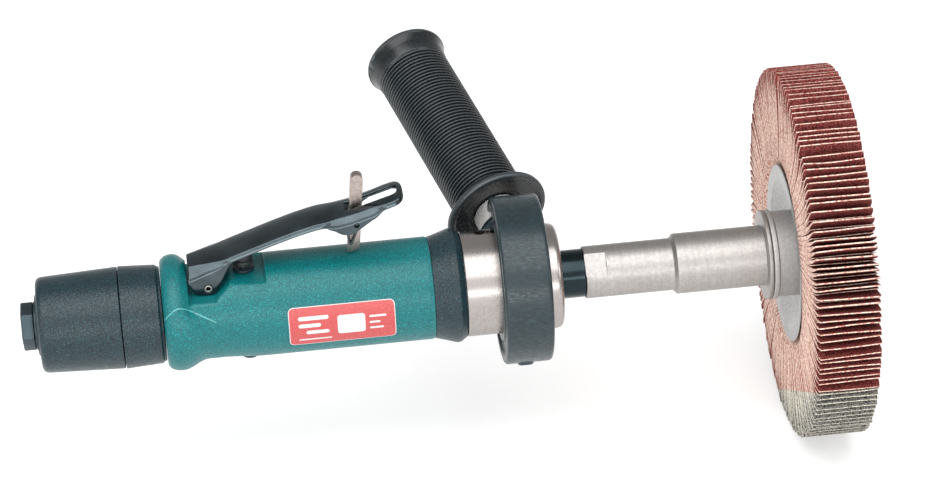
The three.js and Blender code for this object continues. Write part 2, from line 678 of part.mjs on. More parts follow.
function buildSpindle() {
  const bearingInner = SPINDLE_RADIUS + 0.12;
  const bearingOuter = 16;
  const carrierRadius = 15.2;
  const carrierRear = station(129.8);
  const carrierFront = station(125.4);
  const studRadius = 7.6;
  const studFront = station(66.5);
  const spindleFront = ARBOR_REAR - 0.1;
  const blank = turned([
    [carrierRear, 0], [carrierRear, carrierRadius], [carrierFront, carrierRadius],
    [carrierFront, SPINDLE_RADIUS], [spindleFront, SPINDLE_RADIUS], [spindleFront, studRadius],
    [studFront, studRadius], [studFront, 0],
  ]);
  const pinHoles = Array.from({ length: PLANET_COUNT }, (_, i) => {
    const { y, z } = planetCentre(i);
    return bar(carrierRear - 1, station(125.5), 2.24, TINY_ROUND).translate(0, y, z);
  });
  addPiece('output_spindle', cut(blank, ...pinHoles), blackSteel);

  const spindleBearing = (x0, x1) => tube(x0, x1, bearingInner, bearingOuter);
  const spacer = tube(station(118.1), station(104.7), 14.4, bearingOuter - 0.15, INNER_ROUND);
  addPiece('rear_spindle_bearing', spindleBearing(station(125), station(118.2)), brightSteel);
  addPiece('bearing_spacer', spacer, plainSteel);
  addPiece('front_spindle_bearing', spindleBearing(station(104.6), station(97.6)), brightSteel);
  addPiece('spindle_seal', tube(station(97.2), station(94.6), bearingInner, 15), rubber);
}

function buildArbor() {
  const slimRadius = 10.7;
  const thickRadius = 12.4;
  const flangeRadius = 18.5;
  const flangeRear = station(8.6);
  const pilotRear = station(6.8);
  const pilotRadius = 12.6;
  const pilotFront = WHEEL_BACK + 20.2;
  const blank = turned([
    [ARBOR_REAR, 0], [ARBOR_REAR, slimRadius - 0.4], [ARBOR_REAR + 0.4, slimRadius],
    [ARBOR_STEP, slimRadius], [ARBOR_STEP + 1.6, thickRadius], [flangeRear, thickRadius],
    [flangeRear, flangeRadius], [pilotRear, flangeRadius], [pilotRear, pilotRadius],
    [pilotFront, pilotRadius], [pilotFront, 0],
  ]);
  const rearThread = bar(ARBOR_REAR - 1, station(65.8), 7.8);
  const frontThread = bar(station(4), pilotFront + 1, 6.15, INNER_ROUND);

  // Two wrench flats, turned to where the arbor happened to stop.
  const flatDistance = 9.5;
  const flatEnd = station(74);
  const flatTurn = THREE.MathUtils.degToRad(41.7);
  const flats = [flatTurn, flatTurn + Math.PI].map((turn) =>
    block(ARBOR_REAR - 1, flatEnd, -15, 15, flatDistance, 15).rotateX(turn));
  addPiece('arbor', cut(blank, rearThread, frontThread, ...flats), brightSteel);
}

// ---------------------------------------------------------------------------------------------
// Abrasive wheel
// ---------------------------------------------------------------------------------------------

function dishedPlate(rimX, inward) {
  const hubX = rimX + inward * WHEEL_PLATE_DISH;
  const sheet = inward * WHEEL_PLATE_SHEET;
  const hubRadius = 20;
  const holeRadius = 12.8;
  return turned([
    [hubX, holeRadius], [hubX, hubRadius], [rimX, WHEEL_PLATE_RADIUS], [rimX + sheet, WHEEL_PLATE_RADIUS],
    [hubX + sheet, hubRadius], [hubX + sheet, holeRadius],
  ]);
}

function buildWheel() {
  const back = WHEEL_BACK;
  const front = WHEEL_BACK + WHEEL_WIDTH;
  const plateGap = 0.2;
  addPiece('inner_flange', turned([
    [station(6.6), 12.75], [station(6.6), 18.5], [station(4.6), 18.5], [station(4.2), 17.6],
    [back + WHEEL_PLATE_DISH, 17.6], [back + WHEEL_PLATE_DISH, 12.75],
  ]), brightSteel);
  addPiece('wheel_rear_plate', dishedPlate(back + plateGap, 1), plainSteel);
  addPiece('wheel_front_plate', dishedPlate(front - plateGap, -1), plainSteel);
  addPiece('wheel_core', tube(back + 5.8, front - 5.8, 12.8, 29.9), resin);
  const bore = 30.2;
  const rimClearance = WHEEL_PLATE_RADIUS + 0.4;
  addPiece('flap_pack', turned([
    [back, rimClearance], [back, WHEEL_RADIUS], [front, WHEEL_RADIUS], [front, rimClearance],
    [front - 1.8, rimClearance], [front - 4.4, bore], [back + 4.4, bore], [back + 1.8, rimClearance],
  ], RIM_ROUND), abrasive);

  const flangeRear = front - WHEEL_PLATE_DISH;
  const headRear = -7.5;
  addPiece('outer_flange', turned([
    [flangeRear, 6.4], [flangeRear, 17.6], [front + 0.4, 17.6], [front + 0.8, 18.5],
    [headRear - 0.4, 18.5], [headRear - 0.1, 18.1], [headRear - 0.1, 6.4],
  ]), brightSteel);
  const screwHead = crossSection(hexagon(19, Math.PI / 6), headRear, 0);
  const screwShank = bar(station(2), headRear + 1, 6, INNER_ROUND);
  addPiece('wheel_screw', join(screwHead, screwShank), brightSteel);
}

// ---------------------------------------------------------------------------------------------
// Side handle
// ---------------------------------------------------------------------------------------------

const handlePoint = (distance) => HANDLE_ROOT.clone().addScaledVector(HANDLE_DIRECTION, distance);

function buildClamp() {
  const boreRadius = COLLAR_RADIUS + 0.2;
  const edge = 1.3;
  const ring = turned([
    [CLAMP_REAR, boreRadius], [CLAMP_REAR, 24.5], [CLAMP_REAR + 1.2, 25.1], [CLAMP_REAR + 1.2, 30.4],
    [CLAMP_REAR, 31], [CLAMP_REAR, CLAMP_RADIUS - edge], [CLAMP_REAR + edge, CLAMP_RADIUS],
    [CLAMP_FRONT - edge, CLAMP_RADIUS], [CLAMP_FRONT, CLAMP_RADIUS - edge], [CLAMP_FRONT, boreRadius],
  ]);
  const seatDistance = 29.6;
  const boss = rod(handlePoint(16), handlePoint(seatDistance), 12, INNER_ROUND);
  const spotFace = rod(handlePoint(seatDistance), handlePoint(60), 12.7, INNER_ROUND);
  const studHole = rod(handlePoint(10), handlePoint(60), 5.4);
  const collarRoom = bar(CLAMP_REAR - 15, CLAMP_FRONT + 5, boreRadius);

  // The set screw that grips the collar.
  const screwX = station(109.8);
  const screwAngle = THREE.MathUtils.degToRad(-122.6);
  const radial = new THREE.Vector3(0, Math.cos(screwAngle), Math.sin(screwAngle));
  const onScrew = (distance) => new THREE.Vector3(screwX, 0, 0).addScaledVector(radial, distance);
  const headRoom = rod(onScrew(31.4), onScrew(40), 4);
  const shankHole = rod(onScrew(18), onScrew(34), 2.8);
  const rooms = [collarRoom, spotFace, studHole, headRoom, shankHole];
  addPiece('clamp_ring', cut(join(ring, boss), ...rooms), blackPlastic);
  const head = rod(onScrew(31.8), onScrew(35.5), 3.6);
  const shank = rod(onScrew(22), onScrew(33), 2.5);
  const socket = rod(onScrew(34), onScrew(37), 1.7, 6);
  addPiece('clamp_screw', cut(join(head, shank), socket), brightSteel);
}

// Pieces of revolution about the handle's own axis, from [distance, radius] points.
function handleTurned(profile, segments) {
  const alongTool = new THREE.Vector3(1, 0, 0);
  const turn = new THREE.Quaternion().setFromUnitVectors(alongTool, HANDLE_DIRECTION);
  return turned(profile, segments).applyQuaternion(turn).translate(...HANDLE_ROOT.toArray());
}

function buildHandle() {
  const studRadius = 5;
  const sleeveInner = 5.3;
  const gripSeat = 40;
  const studProfile = [[24.4, 0], [24.4, studRadius], [131, studRadius], [131, 0]];
  addPiece('handle_stud', handleTurned(studProfile, SMALL_ROUND), plainSteel);
  addPiece('handle_bushing', handleTurned([
    [29.9, sleeveInner], [29.9, 10], [gripSeat - 0.3, 10], [gripSeat - 0.3, sleeveInner],
  ], INNER_ROUND), brightSteel);
  addPiece('handle_grip', handleTurned([
    [gripSeat, sleeveInner], [gripSeat, 12], [HANDLE_FACE + 0.5, 12.8], [HANDLE_FACE, 21.2],
    [HANDLE_FACE + 0.7, 21.85], [HANDLE_FACE + 2.2, 21.85], [HANDLE_FACE + 4.4, 19.4],
    [HANDLE_FACE + 7.4, 16.6], [HANDLE_FACE + 10, GRIP_RADIUS], [128, GRIP_RADIUS], [132.4, 16.2],
    [134.6, 17.2], [HANDLE_END - 0.9, 17.2], [HANDLE_END, 16.3], [HANDLE_END, 0], [131.4, 0],
    [131.4, sleeveInner],
  ], INNER_ROUND), rubber);
}

buildInlet();
buildMuffler();
buildHousing();
buildNamePlate();
buildValve();
buildLever();
buildSafetyLock();
buildMotor();
buildGears();
buildGearCase();
buildSpindle();
buildArbor();
buildWheel();
buildClamp();
buildHandle();

export default model;
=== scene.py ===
"""Looks for the air grinder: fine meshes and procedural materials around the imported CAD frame.

The tool's sizes are in millimetres, and the places of the floor, lights and camera in metres. +X runs
along the tool to the wheel, and +Z points to the lever.
Angles round the tool are measured from +Y towards +Z, so -Y, the labelled side, is 180 degrees.
"""

import itertools
import math

import bmesh
import bpy
import numpy as np
from mathutils import Matrix, Vector


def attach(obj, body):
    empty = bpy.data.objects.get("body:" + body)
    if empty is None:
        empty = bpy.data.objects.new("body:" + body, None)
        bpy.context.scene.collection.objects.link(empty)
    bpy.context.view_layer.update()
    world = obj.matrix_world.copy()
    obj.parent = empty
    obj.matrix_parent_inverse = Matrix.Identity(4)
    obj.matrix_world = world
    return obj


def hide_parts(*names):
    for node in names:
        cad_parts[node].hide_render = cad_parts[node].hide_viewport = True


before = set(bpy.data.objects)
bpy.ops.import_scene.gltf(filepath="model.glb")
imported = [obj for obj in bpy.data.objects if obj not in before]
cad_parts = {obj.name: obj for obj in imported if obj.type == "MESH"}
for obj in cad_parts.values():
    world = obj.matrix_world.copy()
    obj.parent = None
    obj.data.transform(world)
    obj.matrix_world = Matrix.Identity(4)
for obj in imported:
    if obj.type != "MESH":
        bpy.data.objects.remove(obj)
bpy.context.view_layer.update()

MM = 0.001
WHEEL_BACK = -35.4
WHEEL_WIDTH = 25.4


def station(behind_wheel):
    """X of a place that lies this far behind the wheel's rear face."""
    return WHEEL_BACK - behind_wheel


def stations(*points):
    """Points with their first number, a distance behind the wheel, turned into X."""
    return [(station(behind), *rest) for behind, *rest in points]


HOUSING_REAR = station(254.4)
HOUSING_FRONT = station(145.6)
HOUSING_RADIUS = 21.0
VALVE_X = station(220.8)
LEVER_PIN = (station(235.6), 15.9)
LOCK_PIN = (station(174.4), 38.7)
LOCK_LEAN = math.radians(5.4)
HANDLE_ROOT = Vector((station(102.4), 0, 0))
HANDLE_DIRECTION = Vector((-0.281, 0.923, 0.261)).normalized()
# Dust lies on the wheel further than this from the axis, along this (Y, Z) direction.
DUST_LINE = 56.7
DUST_DIRECTION = (-0.539, -0.842)


# ---- Mesh helpers ----


def smoothstep(low, high, value):
    t = np.clip((np.asarray(value, float) - low) / (high - low), 0, 1)
    return t * t * (3 - 2 * t)


def on_line(x, points):
    """The height at x of the line through the points."""
    return np.interp(x, [p[0] for p in points], [p[1] for p in points])


def polar(x, radius, angle):
    return (x, radius * math.cos(angle), radius * math.sin(angle))


def add_mesh(name, shape, materials, sharp=32, face_looks=None):
    """Adds a shape, given as (vertices, faces) in millimetres, to the scene."""
    vertices, faces = shape
    mesh = bpy.data.meshes.new(name)
    mesh.from_pydata((np.asarray(vertices, float) * MM).tolist(), [], [tuple(map(int, f)) for f in faces])
    for material in materials:
        mesh.materials.append(material)
    if face_looks is not None:
        mesh.polygons.foreach_set("material_index", np.asarray(face_looks, np.int32))
    obj = bpy.data.objects.new(name, mesh)
    bpy.context.scene.collection.objects.link(obj)
    settle(obj, sharp)
    return obj


def make_piece(name, shape, looks, body, node, sharp=32, face_looks=None):
    """Adds a piece that rides on a body and may replace a CAD node. looks is one name or several."""
    names = [looks] if isinstance(looks, str) else looks
    obj = add_mesh(name, shape, [LOOKS[look] for look in names], sharp, face_looks)
    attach(obj, body)
    if node:
        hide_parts(node)
    return obj


def shade(mesh, angle):
    """Shades the mesh smooth, apart from edges sharper than the angle in degrees."""
    mesh.shade_smooth()
    mesh.set_sharp_from_angle(angle=math.radians(angle))


def settle(obj, sharp=32):
    """Merges doubled points, turns the faces outwards and shades the mesh."""
    bm = bmesh.new()
    bm.from_mesh(obj.data)
    bmesh.ops.remove_doubles(bm, verts=bm.verts, dist=1e-7)
    bmesh.ops.dissolve_degenerate(bm, dist=1e-8, edges=bm.edges)
    bmesh.ops.recalc_face_normals(bm, faces=bm.faces)
    bm.to_mesh(obj.data)
    bm.free()
    shade(obj.data, sharp)
    obj.data.update()


def apply_modifier(obj, kind, **settings):
    """Adds a modifier with these settings and makes its result the object's mesh."""
    modifier = obj.modifiers.new(kind.lower(), kind)
    for name, value in settings.items():
        setattr(modifier, name, value)
    graph = bpy.context.evaluated_depsgraph_get()
    graph.update()
    mesh = bpy.data.meshes.new_from_object(obj.evaluated_get(graph), depsgraph=graph)
    obj.modifiers.clear()
    obj.data = mesh


def combine(obj, shape, operation):
    """Cuts a shape out of the piece, or joins it on. The new walls keep the piece's material."""
    tool = add_mesh("tool", shape, [obj.data.materials[0]])
    apply_modifier(obj, "BOOLEAN", operation=operation, solver="MANIFOLD", object=tool)
    bpy.data.objects.remove(tool)


def carve(obj, cutters, sharp=32):
    """Takes the cutters out of the piece."""
    for cutter in cutters:
        combine(obj, cutter, "DIFFERENCE")
    shade(obj.data, sharp)


def add_bevel(obj, width, segments=2, angle=40):
    """Rounds the piece's sharp edges."""
    apply_modifier(obj, "BEVEL", width=width * MM, segments=segments, limit_method="ANGLE",
                   angle_limit=math.radians(angle))
    shade(obj.data, angle)


def rounded(profile, radius, steps=4):
    """A closed profile of (x, r) or (x, r, corner radius) points with its corners rounded."""
    points = []
    count = len(profile)
    for i, corner in enumerate(profile):
        here = np.array(corner[:2], float)
        want = corner[2] if len(corner) > 2 else radius
        before = np.array(profile[i - 1][:2], float) - here
        after = np.array(profile[(i + 1) % count][:2], float) - here
        span_before, span_after = np.linalg.norm(before), np.linalg.norm(after)
        if here[1] < 1e-6 or want <= 0 or min(span_before, span_after) < 1e-6:
            points.append(here)
            continue
        before, after = before / span_before, after / span_after
        opening = math.acos(np.clip(before @ after, -1, 1))
        if opening > math.radians(176):
            points.append(here)
            continue
        reach = min(want / math.tan(opening / 2), 0.48 * span_before, 0.48 * span_after)
        start, end = here + before * reach, here + after * reach
        for k in range(steps + 1):
            t = k / steps
            points.append((1 - t) ** 2 * start + 2 * t * (1 - t) * here + t * t * end)
    return points


def lathe(profile, segments=96, radius=0.3, steps=4):
    """A solid of revolution about X from a closed profile, as vertices and faces."""
    turns = np.arange(segments) * 2 * math.pi / segments
    vertices, rings = [], []
    for x, r in rounded(profile, radius, steps):
        first = len(vertices)
        if r < 1e-6:
            vertices.append((x, 0, 0))
            rings.append([first] * segments)
        else:
            vertices.extend(polar(x, r, a) for a in turns)
            rings.append(list(range(first, first + segments)))
    faces = []
    for ring, following in zip(rings, rings[1:] + rings[:1]):
        if ring[0] == ring[1] and following[0] == following[1]:
            continue
        for i in range(segments):
            j = (i + 1) % segments
            corners = dict.fromkeys([ring[i], ring[j], following[j], following[i]])
            if len(corners) > 2:
                faces.append(tuple(corners))
    return np.array(vertices, float), faces


def moved(shape, matrix):
    vertices, faces = shape
    turned = np.asarray(vertices, float) @ np.array(matrix.to_3x3()).T + np.array(matrix.translation)
    return turned, faces


def along(shape, direction, start):
    """A shape with its X axis turned to a direction, and its origin moved to a start point."""
    turn = Vector((1, 0, 0)).rotation_difference(Vector(direction)).to_matrix().to_4x4()
    return moved(shape, Matrix.Translation(Vector(start)) @ turn)


def crossing(shape, pin):
    """A shape turned across the tool, on the (x, z) place of a pin."""
    return along(shape, (0, 1, 0), (pin[0], 0, pin[1]))


def in_valve(profile, segments, radius=0.3):
    """A solid of revolution about the valve's upright axis, from (z, r) points."""
    stand = Matrix.Translation((VALVE_X, 0, 0)) @ Matrix.Rotation(-math.pi / 2, 4, "Y")
    return moved(lathe(profile, segments, radius), stand)


def bar(x0, x1, radius, segments=64):
    return lathe([(x0, 0), (x0, radius, 0), (x1, radius, 0), (x1, 0)], segments)


def sleeve(x0, x1, inner, outer, segments, radius):
    """A tube along X, with its corners rounded to this radius."""
    return lathe([(x0, inner), (x0, outer), (x1, outer), (x1, inner)], segments, radius)


def prism(outline, low, high):
    """A closed outline of (x, z) points, given thickness from y = low to y = high."""
    count = len(outline)
    vertices = [(x, y, z) for y in (low, high) for x, z in outline]
    faces = [tuple(range(count)), tuple(range(2 * count - 1, count - 1, -1))]
    faces += [(i, (i + 1) % count, count + (i + 1) % count, count + i) for i in range(count)]
    return np.array(vertices, float), faces


def box(x0, x1, y0, y1, z0, z1):
    return prism([(x0, z0), (x1, z0), (x1, z1), (x0, z1)], y0, y1)


def tube_faces(rings, size):
    """The faces between rings of points that follow each other, with this many points in each."""
    faces = []
    for ring in range(rings - 1):
        for k in range(size):
            a, b = ring * size + k, ring * size + (k + 1) % size
            faces.append((a, b, b + size, a + size))
    return faces


def hex_prism(x0, x1, across_flats, phase=0.0, chamfer=0.0):
    """A six-sided bar along X. The chamfer takes the corners off both end faces."""
    radius = across_flats / math.sqrt(3)
    rings = [(x0, radius), (x1, radius)]
    if chamfer:
        slope = 0.55 * chamfer
        rings = [(x0, radius - chamfer), (x0 + slope, radius), (x1 - slope, radius), (x1, radius - chamfer)]
    vertices = [polar(x, r, phase + k * math.pi / 3) for x, r in rings for k in range(6)]
    last = 6 * (len(rings) - 1)
    faces = [tuple(range(5, -1, -1)), tuple(range(last, last + 6))]
    return np.array(vertices, float), faces + tube_faces(len(rings), 6)


def smooth_path(points, steps=6):
    """A smooth open curve through the points."""
    points = np.array(points, float)
    padded = np.vstack([2 * points[0] - points[1], points, 2 * points[-1] - points[-2]])
    path = []
    for i in range(len(points) - 1):
        a, b, c, d = padded[i:i + 4]
        for k in range(steps):
            t = k / steps
            path.append(0.5 * (2 * b + (c - a) * t + (2 * a - 5 * b + 4 * c - d) * t * t
                               + (3 * b - a - 3 * c + d) * t ** 3))
    path.append(points[-1])
    return np.array(path)


def smoothed(points, spacing=0.4, blur=1.3):
    """The line through the points, sampled evenly, with its corners eased."""
    xs = np.arange(points[0][0], points[-1][0] + spacing, spacing)
    zs = on_line(xs, points)
    reach = int(3 * blur / spacing)
    kernel = np.exp(-0.5 * (np.arange(-reach, reach + 1) * spacing / blur) ** 2)
    kernel /= kernel.sum()
    slope_start, slope_end = zs[1] - zs[0], zs[-1] - zs[-2]
    padded = np.concatenate([zs[0] + slope_start * np.arange(-reach, 0), zs,
                             zs[-1] + slope_end * np.arange(1, reach + 1)])
    return xs, np.convolve(padded, kernel, "valid")


def wire(points, radius, sides=12):
    """A round wire along a smooth curve, closed at both ends."""
    path = smooth_path(points)
    tangents = np.gradient(path, axis=0)
    tangents /= np.linalg.norm(tangents, axis=1)[:, None]
    side = np.cross(tangents[0], (0.3, 0.5, 0.8))
    vertices = []
    for place, tangent in zip(path, tangents):
        side = side - tangent * (side @ tangent)
        side /= np.linalg.norm(side)
        other = np.cross(tangent, side)
        for k in range(sides):
            angle = 2 * math.pi * k / sides
            vertices.append(place + radius * (math.cos(angle) * side + math.sin(angle) * other))
    last = len(vertices) - sides
    caps = [tuple(range(sides - 1, -1, -1)), tuple(range(last, last + sides))]
    return np.array(vertices), tube_faces(len(path), sides) + caps


# ---- Materials ----


def add_node(tree, kind, inputs, **settings):
    """Adds a shader node. Each input takes a plain value or another node's output."""
    node = tree.nodes.new(f"ShaderNode{kind}")
    for name, value in settings.items():
        setattr(node, name, value)
    for name, value in inputs.items():
        socket = node.inputs[name]
        if isinstance(value, bpy.types.NodeSocket):
            tree.links.new(value, socket)
        else:
            socket.default_value = (*value, 1) if socket.type == "RGBA" else value
    return node


def add_ramp(tree, value, stops):
    """A colour that follows a value through stops of (position, colour)."""
    node = add_node(tree, "ValToRGB", {"Fac": value})
    elements = node.color_ramp.elements
    while len(elements) < len(stops):
        elements.new(0.5)
    for element, (position, color) in zip(elements, stops):
        element.position = position
        element.color = (*color, 1)
    return node.outputs["Color"]


class Look:
    """Builds one procedural material on the piece's own coordinates."""

    def __init__(self, name, roughness=0.5, metallic=0.0, specular=0.5):
        self.material = bpy.data.materials.new(name)
        self.material.use_nodes = True
        self.tree = self.material.node_tree
        self.inputs = self.tree.nodes["Principled BSDF"].inputs
        self.inputs["Roughness"].default_value = roughness
        self.inputs["Metallic"].default_value = metallic
        self.inputs["Specular IOR Level"].default_value = specular
        self.place = self.add("TexCoord", {}, "Object")

    def add(self, kind, inputs, output, **settings):
        return add_node(self.tree, kind, inputs, **settings).outputs[output]

    def noise(self, per_mm, detail=3.0, stretch=(1, 1, 1), rough=0.55):
        place = self.add("Mapping", {"Vector": self.place, "Scale": stretch}, "Vector")
        inputs = {"Vector": place, "Scale": per_mm / MM, "Detail": detail, "Roughness": rough}
        return self.add("TexNoise", inputs, "Fac")

    def specks(self, per_mm):
        return self.add("TexVoronoi", {"Vector": self.place, "Scale": per_mm / MM}, "Distance")

    def dust(self):
        """One below the straight line on the wheel where dust has settled, and zero above it."""
        inputs = {0: self.place, 1: (0, *DUST_DIRECTION)}
        distance = self.add("VectorMath", inputs, "Value", operation="DOT_PRODUCT")
        return self.spread(distance, 0.0, 1.0, (DUST_LINE - 0.3) * MM, (DUST_LINE + 0.3) * MM)

    def worn(self):
        """High on the piece's raised edges."""
        return self.add("NewGeometry", {}, "Pointiness")

    def ramp(self, value, stops):
        return add_ramp(self.tree, value, stops)

    def spread(self, value, low, high, start=0.3, end=0.7):
        """Takes a value that runs from start to end to the range from low to high."""
        inputs = {"Value": value, "From Min": start, "From Max": end, "To Min": low, "To Max": high}
        return self.add("MapRange", inputs, "Result")

    def mix(self, share, first, second):
        """The first colour, with a share of the second."""
        return self.add("Mix", {0: share, 6: first, 7: second}, 2, data_type="RGBA")

    def finish(self, color, roughness, *bumps):
        """Links the results to the shader. Each bump, as (height, depth in mm), lies on the one before.

        Without a roughness result, the shader keeps its plain number.
        """
        results = {"Base Color": color}
        if roughness is not None:
            results["Roughness"] = roughness
        below = {}
        for height, depth in bumps:
            inputs = {"Height": height, "Distance": depth * MM, **below}
            below = {"Normal": self.add("Bump", inputs, "Normal")}
        for name, value in (results | below).items():
            self.tree.links.new(value, self.inputs[name])
        return self.material


def tinted(color, factor):
    return tuple(min(1.0, channel * factor) for channel in color)


def moulded(name, color, roughness=0.5, grain=0.03, contrast=0.18, worn=None, specular=0.5, speckle=2.0,
            stretch=(1, 1, 1)):
    """Moulded plastic or paint: a fine speckle, a pebbled surface and paler raised edges: wear, and on the
    teal also a painted edge highlight.
    """
    look = Look(name, specular=specular)
    fine = look.noise(speckle, 1.0, stretch, rough=0.5)
    tones = [(0.34, -1), (0.5, 0), (0.64, 2), (0.76, 5)]
    speckled = look.ramp(fine, [(position, tinted(color, 1 + step * contrast)) for position, step in tones])
    shaded = look.mix(look.spread(look.noise(0.06, 2.0), 0.0, 0.2), speckled, tinted(color, 0.8))
    edges = look.spread(look.worn(), 0.0, 0.5, 0.52, 0.57)
    return look.finish(look.mix(edges, shaded, worn or tinted(color, 1.6)),
                       look.spread(fine, roughness + 0.10, roughness - 0.10),
                       (fine, grain), (look.noise(0.35, 2.0), grain * 0.8))


def machined(name, color, roughness, streak=(60, 1, 1), depth=0.004, stain=0.12, grain=0.7):
    """Turned or ground steel: fine tool marks across the streak direction, and faint handling stains."""
    look = Look(name, metallic=1.0)
    marks = look.noise(0.12, 3.0, streak)
    fine = look.noise(0.8, 3.0)
    lined = look.ramp(marks, [(0.3, tinted(color, 0.92)), (0.5, color), (0.7, tinted(color, 1.05))])
    grained = look.mix(look.spread(fine, 0.0, grain, 0.38, 0.62), lined, tinted(color, 0.74))
    stains = look.spread(look.noise(0.09, 3.0), 0.0, stain, 0.42, 0.7)
    return look.finish(look.mix(stains, grained, tinted(color, 0.55)),
                       look.spread(fine, roughness - 0.04, roughness + 0.06),
                       (marks, depth), (look.noise(1.2, 2.0), depth * 1.5))


def blackened(name, color, roughness):
    """Black-finished steel, worn bright on its edges."""
    look = Look(name, metallic=1.0)
    clouds = look.noise(0.12, 4.0)
    tone = look.ramp(clouds, [(0.3, tinted(color, 0.8)), (0.7, tinted(color, 1.25))])
    edges = look.spread(look.worn(), 0.0, 0.3, 0.56, 0.66)
    return look.finish(look.mix(edges, tone, (0.30, 0.32, 0.33)),
                       look.spread(clouds, roughness - 0.04, roughness + 0.08), (look.noise(0.5, 3.0), 0.003))


def grip_rubber():
    """Dark rubber whose ribs are rubbed paler on top."""
    look = Look("ribbed_rubber")
    fine = look.noise(1.2, 3.0)
    dark = look.ramp(fine, [(0.3, (0.002, 0.003, 0.004)), (0.7, (0.008, 0.012, 0.014))])
    rubbed = look.spread(look.worn(), 0.0, 1.0, 0.51, 0.58)
    return look.finish(look.mix(rubbed, dark, (0.085, 0.103, 0.112)), look.spread(fine, 0.2, 0.34),
                       (look.noise(1.8, 3.0), 0.006))


def abrasive_face():
    """Sanding grit in red-brown resin: dark grains, brighter worn points and a rough surface."""
    look = Look("abrasive_grit", specular=0.25)
    grains = look.specks(1.5)
    tone = look.ramp(grains, [(0.1, (0.55, 0.20, 0.17)), (0.3, (0.32, 0.058, 0.050)),
                              (0.5, (0.17, 0.027, 0.026)), (0.8, (0.07, 0.013, 0.013))])
    red = look.mix(look.spread(look.noise(0.12, 3.0), 0.0, 0.45), tone, (0.17, 0.045, 0.036))
    dusty = look.ramp(grains, [(0.1, (0.56, 0.53, 0.47)), (0.4, (0.28, 0.27, 0.245)),
                               (0.8, (0.055, 0.06, 0.055))])
    return look.finish(look.mix(look.dust(), red, dusty), look.spread(grains, 0.75, 0.95, 0.0, 0.8),
                       (grains, 0.12), (look.noise(1.3, 3.0), 0.05))


def cloth_edge():
    """The cut edge of the cloth backing: pale threads with red-brown grit between them."""
    look = Look("cloth_edge", specular=0.2)
    threads = look.noise(1.0, 3.0, rough=0.7)
    grit = look.noise(0.9, 2.0)
    pale = look.ramp(threads, [(0.36, (0.34, 0.12, 0.09)), (0.46, (0.72, 0.48, 0.39)),
                               (0.6, (0.88, 0.71, 0.61))])
    red = look.mix(look.spread(grit, 0.0, 0.85, 0.54, 0.64), pale, (0.44, 0.13, 0.10))
    grey = look.ramp(threads, [(0.36, (0.22, 0.21, 0.16)), (0.47, (0.56, 0.52, 0.43)),
                               (0.62, (0.82, 0.78, 0.67))])
    return look.finish(look.mix(look.dust(), red, grey), look.spread(threads, 0.8, 0.95),
                       (threads, 0.12), (grit, 0.06))


def printed(name, dark, light, roughness, specular, per_mm, relief=None):
    """Print on a plate, slightly uneven in tone. relief is its depth in mm."""
    look = Look(name, specular=specular)
    fine = look.noise(per_mm, 2.0)
    bumps = [(look.noise(1.0, 2.0), relief)] if relief else []
    return look.finish(look.ramp(fine, [(0.3, dark), (0.7, light)]), look.spread(fine, *roughness), *bumps)


def fibrous(name, color):
    """Felt or pressed fibre, with its threads along the tool."""
    look = Look(name, specular=0.2)
    fibres = look.noise(0.8, 4.0, (1, 3, 3))
    tone = look.ramp(fibres, [(0.3, tinted(color, 0.6)), (0.7, tinted(color, 1.15))])
    return look.finish(tone, look.spread(fibres, 0.85, 0.98), (fibres, 0.2))


